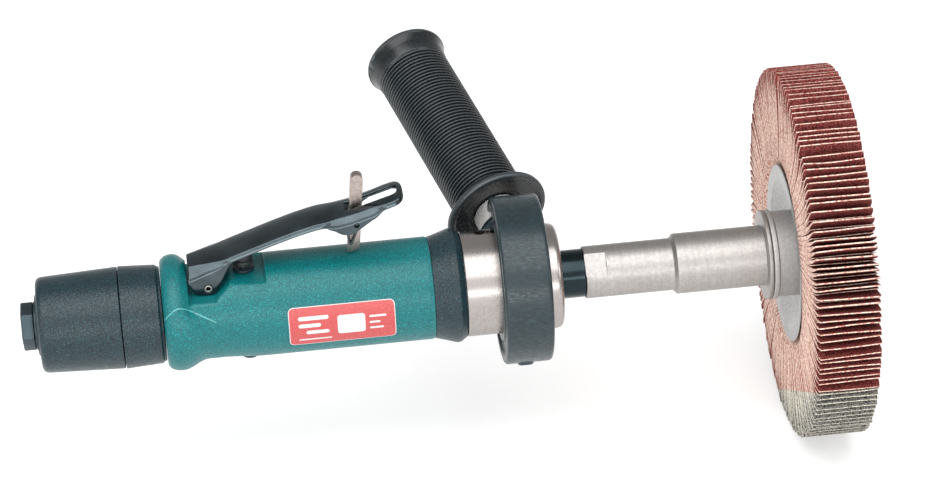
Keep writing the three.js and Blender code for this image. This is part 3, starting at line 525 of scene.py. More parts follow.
LOOKS = {
    # The teal's pale edge tone is partly wear and partly a painted highlight along its raised edges.
    "teal": moulded("teal_composite", (0.0010, 0.117, 0.124), roughness=0.38, contrast=0.26, grain=0.06,
                    specular=0.36, worn=(0.09, 0.32, 0.33)),
    # A painted highlight: a paler teal laid along the crease on each side of the flare.
    "crease_highlight": moulded("teal_crease_painted_highlight", (0.07, 0.27, 0.275), roughness=0.34, contrast=0.3, grain=0.04),
    "black": moulded("black_composite", (0.007, 0.021, 0.027), roughness=0.34, contrast=0.6, grain=0.12,
                     specular=0.38, speckle=1.9, worn=(0.045, 0.055, 0.060)),
    "ring": moulded("black_ring_finish", (0.010, 0.022, 0.027), roughness=0.32, contrast=0.3, grain=0.02,
                    specular=0.45, stretch=(0.25, 1, 1)),
    "lever": blackened("lever_black", (0.062, 0.079, 0.087), roughness=0.15),
    "inlet": blackened("inlet_dark_steel", (0.055, 0.076, 0.086), roughness=0.38),
    "spindle": blackened("spindle_black", (0.021, 0.031, 0.035), roughness=0.18),
    # Each machined look has its roughness, the stretch of its tool marks and their depth in mm.
    "collar": machined("collar_steel", (0.385, 0.355, 0.342), 0.25, (60, 0.2, 0.2), 0.0002, grain=0.35),
    "arbor": machined("arbor_steel", (0.405, 0.385, 0.37), 0.44, (8, 0.5, 0.5), 0.001, grain=0.4),
    "flange": machined("flange_steel", (0.54, 0.52, 0.51), 0.58, (8, 0.5, 0.5), 0.001, grain=0.4),
    "bright": machined("bright_bushing", (0.92, 0.90, 0.88), 0.7, (8, 1, 1), 0.002),
    "lock": machined("lock_steel", (0.40, 0.345, 0.32), 0.3, (1, 1, 8), 0.002),
    "plate": machined("plate_steel", (0.42, 0.415, 0.41), 0.34, (3, 0.4, 0.4), 0.001, stain=0.3),
    "steel": machined("plain_steel", (0.50, 0.49, 0.47), 0.35),
    "iron": machined("cast_iron", (0.18, 0.19, 0.19), 0.55, (1, 1, 1), 0.03),
    "brass": machined("brass_metal", (0.62, 0.42, 0.16), 0.3),
    "rubber": moulded("black_rubber", (0.014, 0.017, 0.018), contrast=0.25),
    "grip": grip_rubber(),
    "felt": fibrous("felt_fibre", (0.09, 0.085, 0.075)),
    "resin": fibrous("core_resin", (0.28, 0.16, 0.10)),
    "blade": fibrous("blade_fibre", (0.24, 0.12, 0.05)),
    "label": printed("label_print", (0.38, 0.028, 0.030), (0.52, 0.085, 0.082), roughness=(0.34, 0.48),
                     specular=0.6, per_mm=2.2, relief=0.006),
    "ink": printed("label_ink", (0.54, 0.51, 0.51), (0.70, 0.67, 0.67), roughness=(0.45, 0.6),
                   specular=0.4, per_mm=2.0),
    "grit": abrasive_face(),
    "cloth": cloth_edge(),
}


# ---- Air inlet, muffler and housing ----


def build_inlet():
    rear, hex_front, tube_front = station(311.7), station(306.4), station(246)
    bore_end = rear + 14
    hexagon = make_piece("inlet_bushing_body", hex_prism(rear, hex_front, 17, chamfer=0.7), "inlet",
                         "tool_body", "inlet_bushing")
    add_bevel(hexagon, 0.25)
    carve(hexagon, [lathe([(rear - 1, 0), (rear - 1, 6.4, 0), (rear + 0.02, 6.2, 0), (rear + 0.7, 5.7, 0),
                           (bore_end, 5.7, 0), (bore_end, 0)], 48)])
    tube = [(hex_front - 0.2, 7.5), (tube_front, 7.5), (tube_front, 4.5), (bore_end, 4.5),
            (rear + 13.4, 5.68, 0)]
    grooves, pitch = 8, 1.3
    for i in reversed(range(grooves)):
        x = rear + 1.4 + i * pitch
        tube += [(x + pitch / 2, 5.2, 0.1), (x, 5.68, 0.1)]
    tube += [(rear + 0.8, 5.72, 0), (rear + 0.8, 6.3), (hex_front - 0.2, 7.2)]
    make_piece("inlet_thread_sleeve", lathe(tube, 64, 0.2), "inlet", "tool_body", None)
    washer = sleeve(hex_front + 0.05, station(305.75), 7.6, 9.9, 96, 0.12)
    make_piece("inlet_thin_washer", washer, "inlet", "tool_body", "inlet_washer")


def build_muffler():
    rear, front = station(305.7), station(271.6)
    cap = lathe([
        (rear + 3, 7.6), (rear, 7.6), (rear, 12.3, 0.4), (rear + 0.8, 12.3, 0.3), (rear + 0.8, 19.4, 3.0),
        (front, 20.75, 0.5), (front, 18.15), (rear + 3, 17.4)], 128, 0.3, 6)
    body = make_piece("muffler_cap_shell", cap, "black", "tool_body", "muffler_cap")
    vent = lathe([(rear - 1, 0), (rear - 1, 2.0, 0), (rear + 0.8, 1.9, 0), (rear + 1.4, 1.4, 0),
                  (rear + 4, 1.4, 0), (rear + 4, 0)], 24)
    vents, circle = 10, 14.6
    carve(body, [moved(vent, Matrix.Translation(polar(0, circle, 2 * math.pi * (i + 0.5) / vents)))
                 for i in range(vents)])
    rear, front = station(271.3), station(254.7)
    ring = lathe([
        (rear, 17.2), (rear, 20.9, 0.45), (front - 1.6, 20.1, 0.5), (front - 0.9, 19.35, 0.3),
        (front, 19.2, 0.2), (front, 12), (front - 2, 12), (front - 2, 17.2)], 128, 0.3, 6)
    make_piece("exhaust_ring_shell", ring, "black", "tool_body", "exhaust_ring")


RECESS_REAR, RECESS_FRONT = station(243.9), station(212.4)
RECESS_FLOOR = stations((233.2, 12.5), (226.7, 17.4))
# Where the crease on each side of the flare runs: (X, degrees above the middle).
CREASE = stations((254.5, 24.0), (252.6, 29.0), (248.8, 35.5), (244.9, 33.6), (240, 25.8), (233.9, 15.6),
                  (229, 4.0))
CREASE_LINE = smoothed(CREASE, 0.2, 1.0)
# The point of each housing ring, counted up from the middle, that is slid onto the crease.
CREASE_ROW = 14
HOUSING_SEGMENTS = 224


def crease_height(x):
    return np.interp(x, *CREASE_LINE)


def crease_ridge(x, height):
    """The thin ridge that runs along the crease on each side."""
    tall, wide = 0.34, 1.3
    fade = 1 - 0.8 * smoothstep(CREASE[-3][0], CREASE[-1][0], x)
    return tall * fade * np.exp(-np.abs(height - crease_height(x)) / wide)


def height_angle(turns):
    """Degrees above the middle, on either side of the tool."""
    return np.degrees(np.arctan2(np.sin(turns), np.abs(np.cos(turns))))


def follow_crease(x, turns):
    """The turns round the housing, slid so that one point on each side lies on the crease at x."""
    height = height_angle(turns)
    resting = CREASE_ROW * 360 / HOUSING_SEGMENTS
    share = np.clip(1 - np.abs(height - resting) / 45, 0, 1)
    height = np.radians(height + share * (crease_height(x) - resting))
    return np.where(np.cos(turns) >= 0, height, math.pi - height)


def housing_surface(x, height):
    """Outside radius at x, where height is the angle above the middle in degrees."""
    body = 20.1 + 0.9 * smoothstep(station(232), station(214), x)
    offset = x - station(248.4)
    crest, bead_length, ridge_length = 3.65, 6.05, 6.2
    if offset < 0:
        bead = crest * math.sqrt(max(0.0, 1 - (-offset / bead_length) ** 2.5))
        return body + bead + crease_ridge(x, height)
    reach = 10.8 + 5.4 * smoothstep(-60, 15, height)
    shoulder = np.where(offset < reach, crest * (1 + np.cos(math.pi * np.minimum(offset / reach, 1))) / 2, 0)
    ridge = 0.94 * crest * (1 + math.cos(math.pi * min(offset / ridge_length, 1))) / 2
    below = np.clip((crease_height(x) - height) / 17, 0, 1)
    share = 1 - (1 - below) ** 2.6
    return body + ridge + (shoulder - ridge) * share + crease_ridge(x, height)


def soft_lower(first, second, blend):
    """The lower of two heights, eased over where they meet."""
    h = np.clip(0.5 + 0.5 * (second - first) / blend, 0, 1)
    return second + (first - second) * h - blend * h * (1 - h)


def housing_ring(x, turns):
    """Radii round the housing at x, with the lever's recess cut in the top."""
    sine = np.sin(turns)
    outer = housing_surface(x, height_angle(turns))
    floor_radius = np.where(sine > 0.2, on_line(x, RECESS_FLOOR) / np.maximum(sine, 0.2), 1e3)
    if RECESS_REAR < x < RECESS_FRONT:
        return soft_lower(outer, floor_radius, 0.5)
    margin = min(abs(x - RECESS_REAR), abs(x - RECESS_FRONT))
    rounding = 0.45
    if margin < rounding:
        dip = rounding - math.sqrt(max(0.0, rounding ** 2 - (rounding - margin) ** 2))
        return outer - np.minimum(dip, np.maximum(outer - floor_radius, 0))
    return outer


def housing_stations():
    """Where the housing's rings lie: close together on its rear bead and at the recess's end walls."""
    rear_edge = [HOUSING_REAR + d for d in (0, 0.05, 0.2, 0.5, 0.9, 1.4, 2, 2.8, 3.6, 4.5, 5.4, 6, 6.8, 7.6,
                                            8.6, 9.4)]
    walls = [wall + side * d for wall, side in ((RECESS_REAR, -1), (RECESS_FRONT, 1))
             for d in (0.5, 0.32, 0.18, 0.08, 0.02, 0.0)]
    inside = [RECESS_REAR + 0.04, RECESS_FRONT - 0.04]
    spans = list(np.linspace(RECESS_REAR + 0.8, RECESS_FRONT - 0.8, 40))
    grip = list(np.linspace(RECESS_FRONT + 1.5, HOUSING_FRONT - 1.3, 26))
    return sorted(rear_edge + walls + inside + spans + grip)


def build_housing():
    segments, front = HOUSING_SEGMENTS, HOUSING_FRONT
    turns = np.arange(segments) * 2 * math.pi / segments
    rings = [(HOUSING_REAR, np.zeros(segments), turns)]
    for x in housing_stations():
        followed = follow_crease(x, turns)
        rings.append((x, housing_ring(x, followed), followed))
    rim = [(front - 1.2, 21.0), (front - 0.8, 20.95), (front - 0.3, 20.75), (front, 20.4), (front, 19.45)]
    for x, r in rim + stations((151.1, 19.45), (151.1, 17), (206, 17), (206, 0)):
        rings.append((x, np.full(segments, r), turns))
    vertices = [polar(x, r, a) for x, radii, ring in rings for r, a in zip(radii, ring)]
    # The faces along the crease on each side get a paler teal, a painted highlight.
    crease_rows = (CREASE_ROW, segments // 2 - CREASE_ROW - 1)
    face_looks = [int(k in crease_rows and HOUSING_REAR < x < CREASE[-2][0])
                  for x, _, _ in rings[:-1] for k in range(segments)]
    shell = make_piece("housing_shell", (vertices, tube_faces(len(rings), segments)), ["teal", "crease_highlight"],
                       "tool_body", "housing", 28, face_looks)
    valve_bore = in_valve([(-30, 0), (-30, 5.3, 0), (7.2, 5.3, 0), (7.2, 2.2, 0), (14.2, 2.2, 0),
                           (14.2, 3.1, 0), (30, 3.1, 0), (30, 0)], 48)
    inlet_bore = lathe([(HOUSING_REAR - 1, 0), (HOUSING_REAR - 1, 7.6, 0), (station(245.6), 7.6, 0),
                        (station(245.6), 4.5, 0), (VALVE_X, 4.5, 0), (VALVE_X, 0)], 48)
    carve(shell, [valve_bore, inlet_bore], 28)

    x, z = LEVER_PIN
    radius = 2.6
    lug = [(x - radius, 5.0), (x + radius, 5.0)]
    lug += [(x + radius * math.cos(a), z + radius * math.sin(a)) for a in np.linspace(0, math.pi, 15)]
    piece = make_piece("lever_pin_lug", prism(lug, -8.05, 8.05), "teal", "tool_body", None)
    carve(piece, [crossing(bar(-12, 12, 1.65, 48), LEVER_PIN)])
    add_bevel(piece, 0.25)


def wrapped_patch(x0, x1, low, high, inner, outer, corner, steps=24):
    """A thin plate with round corners, wrapped on the labelled side from arc length low to high."""
    bends = corner * np.sin(np.radians(np.linspace(0, 90, 7)))
    rows = np.concatenate([np.linspace(low, high, steps + 1), high - corner + bends, low + corner - bends])
    vertices = []
    for row in np.unique(rows.round(5)):
        depth = max(0.0, corner - min(abs(row - low), abs(row - high)))
        inset = corner - math.sqrt(max(0.0, corner ** 2 - depth ** 2))
        left, right, angle = x0 + inset, x1 - inset, math.pi - row / HOUSING_RADIUS
        vertices += [polar(left, inner, angle), polar(left, outer, angle), polar(right, outer, angle),
                     polar(right, inner, angle)]
    last = len(vertices) - 4
    caps = [(3, 2, 1, 0), (last, last + 1, last + 2, last + 3)]
    return np.array(vertices), tube_faces(len(vertices) // 4, 4) + caps


def build_label():
    rear, front = station(205), station(161.9)
    half = HOUSING_RADIUS * math.radians(24.7)
    plate = make_piece("label_plate", wrapped_patch(rear, front, -half, half, 21.02, 21.3, 2.2), "ink",
                       "tool_body", "name_plate", 50)
    add_bevel(plate, 0.08, 2, 50)
    border = 0.32
    panel = wrapped_patch(rear + border, front - border, border - half, half - border, 21.27, 21.31, 1.9)
    make_piece("label_panel", panel, "label", "tool_body", None, 50)
    length = front - rear
    # Plain bars and one window: start and end as shares of the length, low and high in millimetres, corner.
    marks = [
        (0.09, 0.375, 3.3, 5.0, 0.8), (0.09, 0.30, 0.1, 1.8, 0.8), (0.16, 0.375, -3.1, -1.4, 0.8),
        (0.455, 0.715, -4.3, 4.3, 1.2),
        (0.755, 0.915, 2.2, 3.1, 0.4), (0.755, 0.855, -0.5, 0.4, 0.4), (0.755, 0.885, -3.2, -2.3, 0.4),
        (0.09, 0.395, -6.3, -5.6, 0.3),
    ]
    for number, (start, end, low, high, corner) in enumerate(marks):
        patch = wrapped_patch(rear + start * length, rear + end * length, low, high, 21.3, 21.34, corner, 8)
        make_piece(f"label_mark_{number + 1}", patch, "ink", "tool_body", None, 50)


# ---- Valve, lever and safety lock ----


def build_valve():
    bushing = in_valve([(14.4, 1.6), (14.4, 2.95), (17.5, 2.95), (17.5, 4.3), (18.9, 4.3), (18.9, 1.6)],
                       48, 0.25)
    make_piece("stem_bushing_collar", bushing, "black", "tool_body", "stem_bushing")
    profile = [(20.7, 1.35)]
    for z in (20.7, 23.5):
        profile += [(z, 4.1, 0.35), (z + 2, 4.1, 0.45), (z + 2.1, 3.4, 0.2), (z + 2.7, 3.4, 0.2)]
    profile += [(26.3, 2.4, 0.3), (28.2, 1.9, 0.6), (28.2, 0), (22.6, 0), (22.6, 1.35)]
    make_piece("valve_push_button", in_valve(profile, 48, 0.15), "rubber", "valve", "valve_button")
    stem = in_valve([(1.3, 0), (1.3, 3.4, 0.2), (2.4, 3.9, 0.2), (3.6, 3.9, 0.2), (3.6, 1.3, 0.2),
                     (22.4, 1.3, 0.2), (22.4, 0)], 32)
    make_piece("valve_poppet_stem", stem, "steel", "valve", "valve_stem")
    screw = in_valve([(-23.6, 0), (-23.6, 3.6, 0.5), (-20.4, 3.6, 0.2), (-20.4, 5.1, 0.2),
                      (-13.2, 5.1, 0.2), (-13.2, 0)], 48)
    knob = make_piece("speed_regulator_screw", screw, "inlet", "regulator", "speed_regulator")
    carve(knob, [box(VALVE_X - 5, VALVE_X + 5, -0.6, 0.6, -25, -22.4)])


LEVER_HALF = 8.1
LEVER_TOP = stations(
    (243.2, 24.4), (229.5, 27.9), (223.3, 30.1), (208.8, 35.2), (199.3, 38.3), (190.6, 40.6), (184.4, 41.4),
    (176.4, 42.8), (170.6, 44.6), (158.3, 48.4), (154.8, 49.3))
LEVER_BOTTOM = stations(
    (243.2, 20.4), (242.4, 17.6), (241.4, 15.0), (240.4, 13.6), (239.2, 13.0), (237.4, 12.8), (235.6, 12.75),
    (233.9, 12.95), (232.4, 14.1), (230.6, 17.2), (229.2, 19.6), (227.4, 23.4), (225.8, 26.0))
EAR_BOTTOM = stations(
    (184.8, 38.2), (182.6, 36.4), (180.4, 35.0), (178.4, 34.5), (176.2, 34.7), (174, 36.1), (170, 39.0),
    (166, 41.9), (163.4, 43.7))
# Where the ears' slanted shoulder starts, from the middle, and how far out it runs, at each X.
SHOULDER_START = stations((243.2, 4.8), (231.5, 7.2), (227.5, 7.4), (187, 7.0))
SHOULDER_RUN = stations((243.2, 2.8), (231.5, 1.9), (227.5, 1.6), (187, 0.9))
# How far the lever's top drops from its middle to its side, and the slope of the shoulder.
CROWN = 1.2
SHOULDER_SLOPE = 0.86
# Below 1, the lever's front end is squarer than a half circle.
BLUNT = 0.72


def plain_section(top, wide):
    """The lever's main part: an arched top, a tight bend and a short flange, as (distance, z) points."""
    radius = 0.9
    start = LEVER_HALF - radius
    centre = top - CROWN * (start / LEVER_HALF) ** 2 - radius
    rows = [(y, top - CROWN * (y / LEVER_HALF) ** 2) for y in (0.0, 1.8, 3.5, 4.8, 6.2)]
    for angle in np.radians((72, 54, 36, 18, 0)):
        rows.append((start + radius * math.cos(angle), centre + radius * math.sin(angle)))
    rows += [(LEVER_HALF + wide * share, centre - 0.1 - 0.9 * share) for share in (0.2, 0.5, 0.8, 1.0)]
    return np.array(rows)


def eared_section(top, wide, start, run):
    """The lever at its ears: a slanted shoulder that starts at this distance, then the ear's face."""
    shoulder = top - CROWN * (start / LEVER_HALF) ** 2
    rows = [(y, top - CROWN * (y / LEVER_HALF) ** 2) for y in (0.0, 1.8, 3.5, 0.5 * (3.5 + start), start)]
    rows += [(start + run * share, shoulder - SHOULDER_SLOPE * run * share)
             for share in (0.12, 0.34, 0.56, 0.78, 1.0)]
    rest = LEVER_HALF + wide - start - run
    fall = min(2.4 * rest, 3.0)
    diagonal = math.cos(math.pi / 4)
    for angle in np.radians((33, 22, 11, 0)):
        out = (math.cos(angle) - diagonal) / (1 - diagonal)
        down = 1 - math.sin(angle) / diagonal
        rows.append((start + run + rest * out, shoulder - SHOULDER_SLOPE * run - fall * down))
    return np.array(rows)


def lever_section(x, top):
    """Half of the lever's section at x, from the middle outwards and down, as (distance, z) points."""
    eared = smoothstep(station(188.5), station(182), x) * (1 - smoothstep(station(168), station(161.5), x))
    eared += 1 - smoothstep(station(232), station(225), x)
    wide = 0.35 + 1.4 * eared
    plain = plain_section(top, wide)
    ears = eared_section(top, wide, on_line(x, SHOULDER_START), on_line(x, SHOULDER_RUN))
    rows = plain + eared * (ears - plain)
    bottom = top - 3.2
    if x < LEVER_BOTTOM[-1][0]:
        bottom = on_line(x, LEVER_BOTTOM)
    elif EAR_BOTTOM[0][0] < x < EAR_BOTTOM[-1][0]:
        bottom = on_line(x, EAR_BOTTOM)
    face, edge = rows[-1]
    bottom = min(bottom, edge - 0.25)
    return [tuple(row) for row in rows] + [(face, edge + (bottom - edge) * t) for t in (0.33, 0.67, 1.0)]


def lever_skin():
    """The top face of the lever, with a round-ended slot at the front, as vertices and faces."""
    xs, zs = smoothed(LEVER_TOP)
    slot_rear, end_centre = station(178.4), station(160.65)
    slot_half, slot_row, end_length = 3.5, 2, 5.85
    straight = np.unique(np.concatenate([
        np.arange(station(243.2), station(226), 0.6), np.arange(station(226), station(186), 1.2),
        np.arange(station(186), end_centre, 0.6), [slot_rear, end_centre]]).round(4))
    columns = [(x, 0.0) for x in straight]
    turns = np.linspace(0, math.pi / 2, 10)[1:]
    columns += [(end_centre + end_length * math.sin(turn), turn) for turn in turns]
    vertices, faces = [], []
    for side in (-1, 1):
        first = len(vertices)
        for x, turn in columns:
            top = np.interp(x, xs, zs)
            section = lever_section(min(x, LEVER_TOP[-1][0]), top)
            forward, sideways = math.sin(turn) ** BLUNT, math.cos(turn) ** BLUNT
            for distance, z in section:
                if turn == 0:
                    vertices.append((x, side * distance, z))
                    continue
                share = (distance - slot_half) / (LEVER_HALF - slot_half)
                inner = np.array([end_centre + slot_half * forward, slot_half * sideways])
                outer = np.array([end_centre + end_length * forward, LEVER_HALF * sideways])
                px, py = inner + share * (outer - inner)
                vertices.append((px, side * py, z + (np.interp(px, xs, zs) - top)))
        rows = len(section)
        for i, (x, _) in enumerate(columns[:-1]):
            for j in range(slot_row if x >= slot_rear - 1e-6 else 0, rows - 1):
                a = first + i * rows + j
                faces.append((a, a + rows, a + rows + 1, a + 1))
    return vertices, faces


def build_lever():
    lever = make_piece("lever_pressing", lever_skin(), "lever", "lever", "throttle_lever")
    skin = bmesh.new()
    skin.from_mesh(lever.data)
    bmesh.ops.delete(skin, geom=[v for v in skin.verts if not v.link_faces], context="VERTS")
    if sum(f.normal.z * f.calc_area() for f in skin.faces) < 0:
        bmesh.ops.reverse_faces(skin, faces=skin.faces)
    skin.to_mesh(lever.data)
    skin.free()
    apply_modifier(lever, "SOLIDIFY", thickness=1.5 * MM, offset=-1, use_quality_normals=True)
    settle(lever)
    carve(lever, [crossing(bar(-15, 15, 1.75, 48), LEVER_PIN), crossing(bar(-15, 15, 1.15, 48), LOCK_PIN)])
    add_bevel(lever, 0.2, 2, 60)

    pin = sleeve(-10.2, 10.2, 0.9, 1.6, 32, 0.2)
    make_piece("lever_roll_pin", crossing(pin, LEVER_PIN), "collar", "tool_body", "lever_pin")
    rivet = lathe([(-8.7, 0), (-8.7, 1.1), (8.7, 1.1), (8.7, 0)], 32, 0.1)
    make_piece("lock_cross_pin", crossing(rivet, LOCK_PIN), "lever", "lever", "lock_pin")


def build_lock():
    lean = Matrix.Translation((LOCK_PIN[0], 0, LOCK_PIN[1])) @ Matrix.Rotation(LOCK_LEAN, 4, "Y")
    half, top = 2.5, 18.6
    outline = [(-half, -17.1), (-0.9, -17.1), (half, -15)]
    outline += [(half * math.cos(a), top - half + half * math.sin(a)) for a in np.linspace(0, math.pi, 17)]
    blade = make_piece("safety_lock_blade", moved(prism(outline, -2, 2), lean), "lock", "lock",
                       "safety_lock")
    carve(blade, [moved(crossing(bar(-5, 5, 1.3, 48), (0, 0)), lean)])
    add_bevel(blade, 0.3, 3)

    radius, rise, per_turn = 1.9, 1.2, 8
    coil = []
    for i in range(2 * per_turn + 1):
        angle = math.pi + 2 * math.pi * i / per_turn
        coil.append((radius * math.cos(angle), -5.4 + rise * i / per_turn, radius * math.sin(angle)))
    coil += [(-2.6, -3.4, -2.4), (-2.9, -2.8, -6.5), (-2.4, -2.7, -10.0), (-1.5, -2.7, -13.0),
             (-0.8, -2.7, -11.8), (0.4, -2.8, -8.0), (1.0, -3.2, -4.0)]
    make_piece("lock_torsion_spring", moved(wire(coil, 0.42), lean), "lever", "lock", "lock_spring",
               60)


# ---- Gear case, spindle and arbor ----


def build_front():
    rear, front = HOUSING_FRONT + 0.06, station(132.6)
    ring = lathe([
        (rear, 19.4), (rear, 20.7, 0.5), (rear + 3, 21.6, 2), (rear + 6, 22.5, 2), (rear + 8.6, 23.4, 1.2),
        (rear + 10.4, 23.2, 0.8), (rear + 11.8, 22.2, 0.8), (front, 21.4, 0.5), (front, 19.4)], 128, 0.3, 6)
    make_piece("front_lock_ring_shell", ring, "black", "tool_body", "front_lock_ring")

    case = lathe(stations(
        (150.8, 18.05), (150.8, 19.3), (132.4, 19.3, 0), (132.4, 21.5, 0.35), (93, 21.5, 2.9), (93, 10.5),
        (94.4, 10.5), (94.4, 15.1), (97.4, 15.1), (97.4, 16.1), (125.2, 16.1), (125.2, 18.05)), 160, 0.3, 8)
    body = make_piece("gear_case_collar", case, "collar", "tool_body", "gear_case")
    spanner_side = polar(0, 1, math.radians(78))
    carve(body, [along(bar(16.9, 24, 2.1, 32), spanner_side, (station(d), 0, 0)) for d in (124.3, 117.7)])

    nose = lathe(stations(
        (129.8, 0), (129.8, 15.2), (125.4, 15.2), (125.4, 9.93, 0.2), (82.8, 9.93, 0.4), (82.8, 7.6, 0.1),
        (66.5, 7.6), (66.5, 0)), 96)
    spindle = make_piece("output_spindle_nose", nose, "spindle", "spindle", "output_spindle")
    hole = bar(station(131), station(125.5), 2.28, 24)
    planets, planet_circle = 3, 10.125
    turns = [math.pi / 2 + 2 * math.pi * i / planets for i in range(planets)]
    carve(spindle, [moved(hole, Matrix.Translation(polar(0, planet_circle, turn))) for turn in turns])


def build_arbor():
    shaft = lathe(stations(
        (82.7, 0), (82.7, 10.7, 0.5), (46.6, 10.7, 0.15), (45.1, 12.4, 0.5), (8.6, 12.4, 0.4),
        (8.6, 18.5, 0.5), (6.8, 18.5, 0.5), (6.8, 12.6), (-20.2, 12.6), (-20.2, 0)), 128, 0.3, 5)
    piece = make_piece("arbor_shaft", shaft, "arbor", "spindle", "arbor")
    cutters = [bar(station(83.7), station(65.8), 7.8), bar(station(4), station(-22), 6.15)]
    flat = box(station(83.7), station(74), -15, 15, 9.5, 15)
    flat_turn = 41.7
    cutters += [moved(flat, Matrix.Rotation(math.radians(turn), 4, "X"))
                for turn in (flat_turn, flat_turn + 180)]
    carve(piece, cutters)
    add_bevel(piece, 0.25, 2, 25)


# ---- Flap wheel ----


def build_wheel_metal():
    back, front = WHEEL_BACK, WHEEL_BACK + WHEEL_WIDTH
    inner = lathe(stations((6.6, 12.75), (6.6, 18.5, 0.5), (4.6, 18.5, 0.4), (4.2, 17.6, 0.3), (-4.4, 17.6),
                           (-4.4, 12.75)), 128)
    make_piece("inner_flange_disc", inner, "flange", "spindle", "inner_flange")
    for end, rim, inward in (("rear", back + 0.2, 1), ("front", front - 0.2, -1)):
        hub, sheet = rim + inward * 4.4, inward * 0.9
        plate = lathe([
            (hub, 12.8), (hub, 21.5, 2.5), (rim + inward * 0.5, 30.6, 1.2), (rim, 36.0, 0.8),
            (rim + inward * 0.5, 36.6, 0.2), (rim + inward + sheet, 30.9, 1.2), (hub + sheet, 21.7, 2.5),
            (hub + sheet, 12.8)], 144, 0.15, 6)
        make_piece(f"wheel_plate_{end}", plate, "plate", "spindle", f"wheel_{end}_plate", 50)
    outer = lathe([
        (front - 4.4, 6.4), (front - 4.4, 17.6), (front + 0.4, 17.6, 0.3), (front + 0.8, 18.5, 0.3),
        (-7.9, 18.5, 0.4), (-7.6, 18.1), (-7.6, 6.4)], 128)
    make_piece("outer_flange_disc", outer, "flange", "spindle", "outer_flange")
    head = make_piece("wheel_screw_head", hex_prism(-7.5, 0, 19, math.pi / 6, 0.9), "collar", "spindle",
                      "wheel_screw")
    add_bevel(head, 0.25)
    shank = bar(station(2), -7.4, 6)
    make_piece("wheel_screw_shank", shank, "collar", "spindle", None)


FLAP_ACROSS, FLAP_OUTWARD = 7, 14


def flap_faces(first):
    """The faces of one flap, whose two skins of points start at first: its two sides, then its cut edges."""
    size = FLAP_ACROSS * FLAP_OUTWARD
    sides, edges = [], []
    for i in range(FLAP_OUTWARD - 1):
        for j in range(FLAP_ACROSS - 1):
            a = first + i * FLAP_ACROSS + j
            sides.append((a, a + 1, a + FLAP_ACROSS + 1, a + FLAP_ACROSS))
    sides += [tuple(corner + size for corner in face) for face in sides]
    for i in range(FLAP_OUTWARD - 1):
        for j in (0, FLAP_ACROSS - 1):
            a = first + i * FLAP_ACROSS + j
            edges.append((a, a + FLAP_ACROSS, a + FLAP_ACROSS + size, a + size))
    for i in (0, FLAP_OUTWARD - 1):
        for j in range(FLAP_ACROSS - 1):
            a = first + i * FLAP_ACROSS + j
            edges.append((a, a + 1, a + 1 + size, a + size))
    return sides, edges


def build_flaps():
    """Separate flaps of abrasive cloth, each with its own curl, tilt and length."""
    count = 154
    root, tip = 33.0, 76.2
    short_root, short_drop, short_thin = 48.0, 5.5, 0.3
    half_width = WHEEL_WIDTH / 2
    rng = np.random.default_rng(20)
    pitch = 2 * math.pi / count
    wander = np.convolve(rng.normal(0, 1, count + 8), np.ones(3) / 3, "valid")[:count]
    # The widest gap between flaps is where the dust's edge meets the rim on the labelled side.
    gap_angle = math.atan2(DUST_DIRECTION[1], DUST_DIRECTION[0]) % (2 * math.pi)
    gap_angle -= math.acos(DUST_LINE / tip) + math.radians(3.9)
    vertices, faces, face_looks = [], [], []
    for n in range(count):
        base = n * pitch
        shift = 0.26 * pitch * wander[n] + rng.normal(0, 0.09) * pitch
        above_dust = gap_angle - base
        if above_dust > 0:
            shift -= 0.95 * pitch * math.exp(-(above_dust / math.radians(5)) ** 2)
        curl = math.radians(6.0 + rng.normal(0, 0.25))
        reach = tip - abs(rng.normal(0, 0.22))
        side_shift = rng.normal(0, 0.16)
        twist = rng.normal(0, 0.06) * pitch
        wave_size, wave_phase = abs(rng.normal(0, 0.04)) * pitch, rng.uniform(0, 2 * math.pi)
        # Each long flap has a short thin one behind it.
        for offset, bottom, top, thin in ((0.0, root, reach, 1.0),
                                          (0.5 * pitch, short_root, reach - short_drop, short_thin)):
            sides, edges = flap_faces(len(vertices))
            faces += sides + edges
            face_looks += [0] * len(sides) + [1] * len(edges)
            radii = bottom + (top - bottom) * np.linspace(0, 1, FLAP_OUTWARD) ** 0.9
            for skin, r in itertools.product((-1, 1), radii):
                t = (r - root) / (tip - root)
                # The rim's side corners are slightly worn.
                trim = 0.5 * smoothstep(tip - 1.6, tip, r)
                thick = thin * np.interp(t, [0, 0.35, 0.72, 1], [0.61, 0.84, 0.86, 0.24])
                width = half_width - 5 * (1 - smoothstep(35, 39, r)) - trim
                for u in np.linspace(-1, 1, FLAP_ACROSS):
                    angle = base + offset + curl * (2.2 * t - 1.6 * t * t) + shift * t * t + twist * u * t * t
                    angle += wave_size * math.sin(2.4 * u + wave_phase) * t * t
                    angle += skin * thick / r
                    vertices.append(polar(WHEEL_BACK + half_width + u * width + side_shift * t, r, angle))
    make_piece("abrasive_flaps", (vertices, faces), ["grit", "cloth"], "spindle", "flap_pack",
               40, face_looks)


# ---- Side handle ----


def on_handle(shape):
    return along(shape, HANDLE_DIRECTION, HANDLE_ROOT)


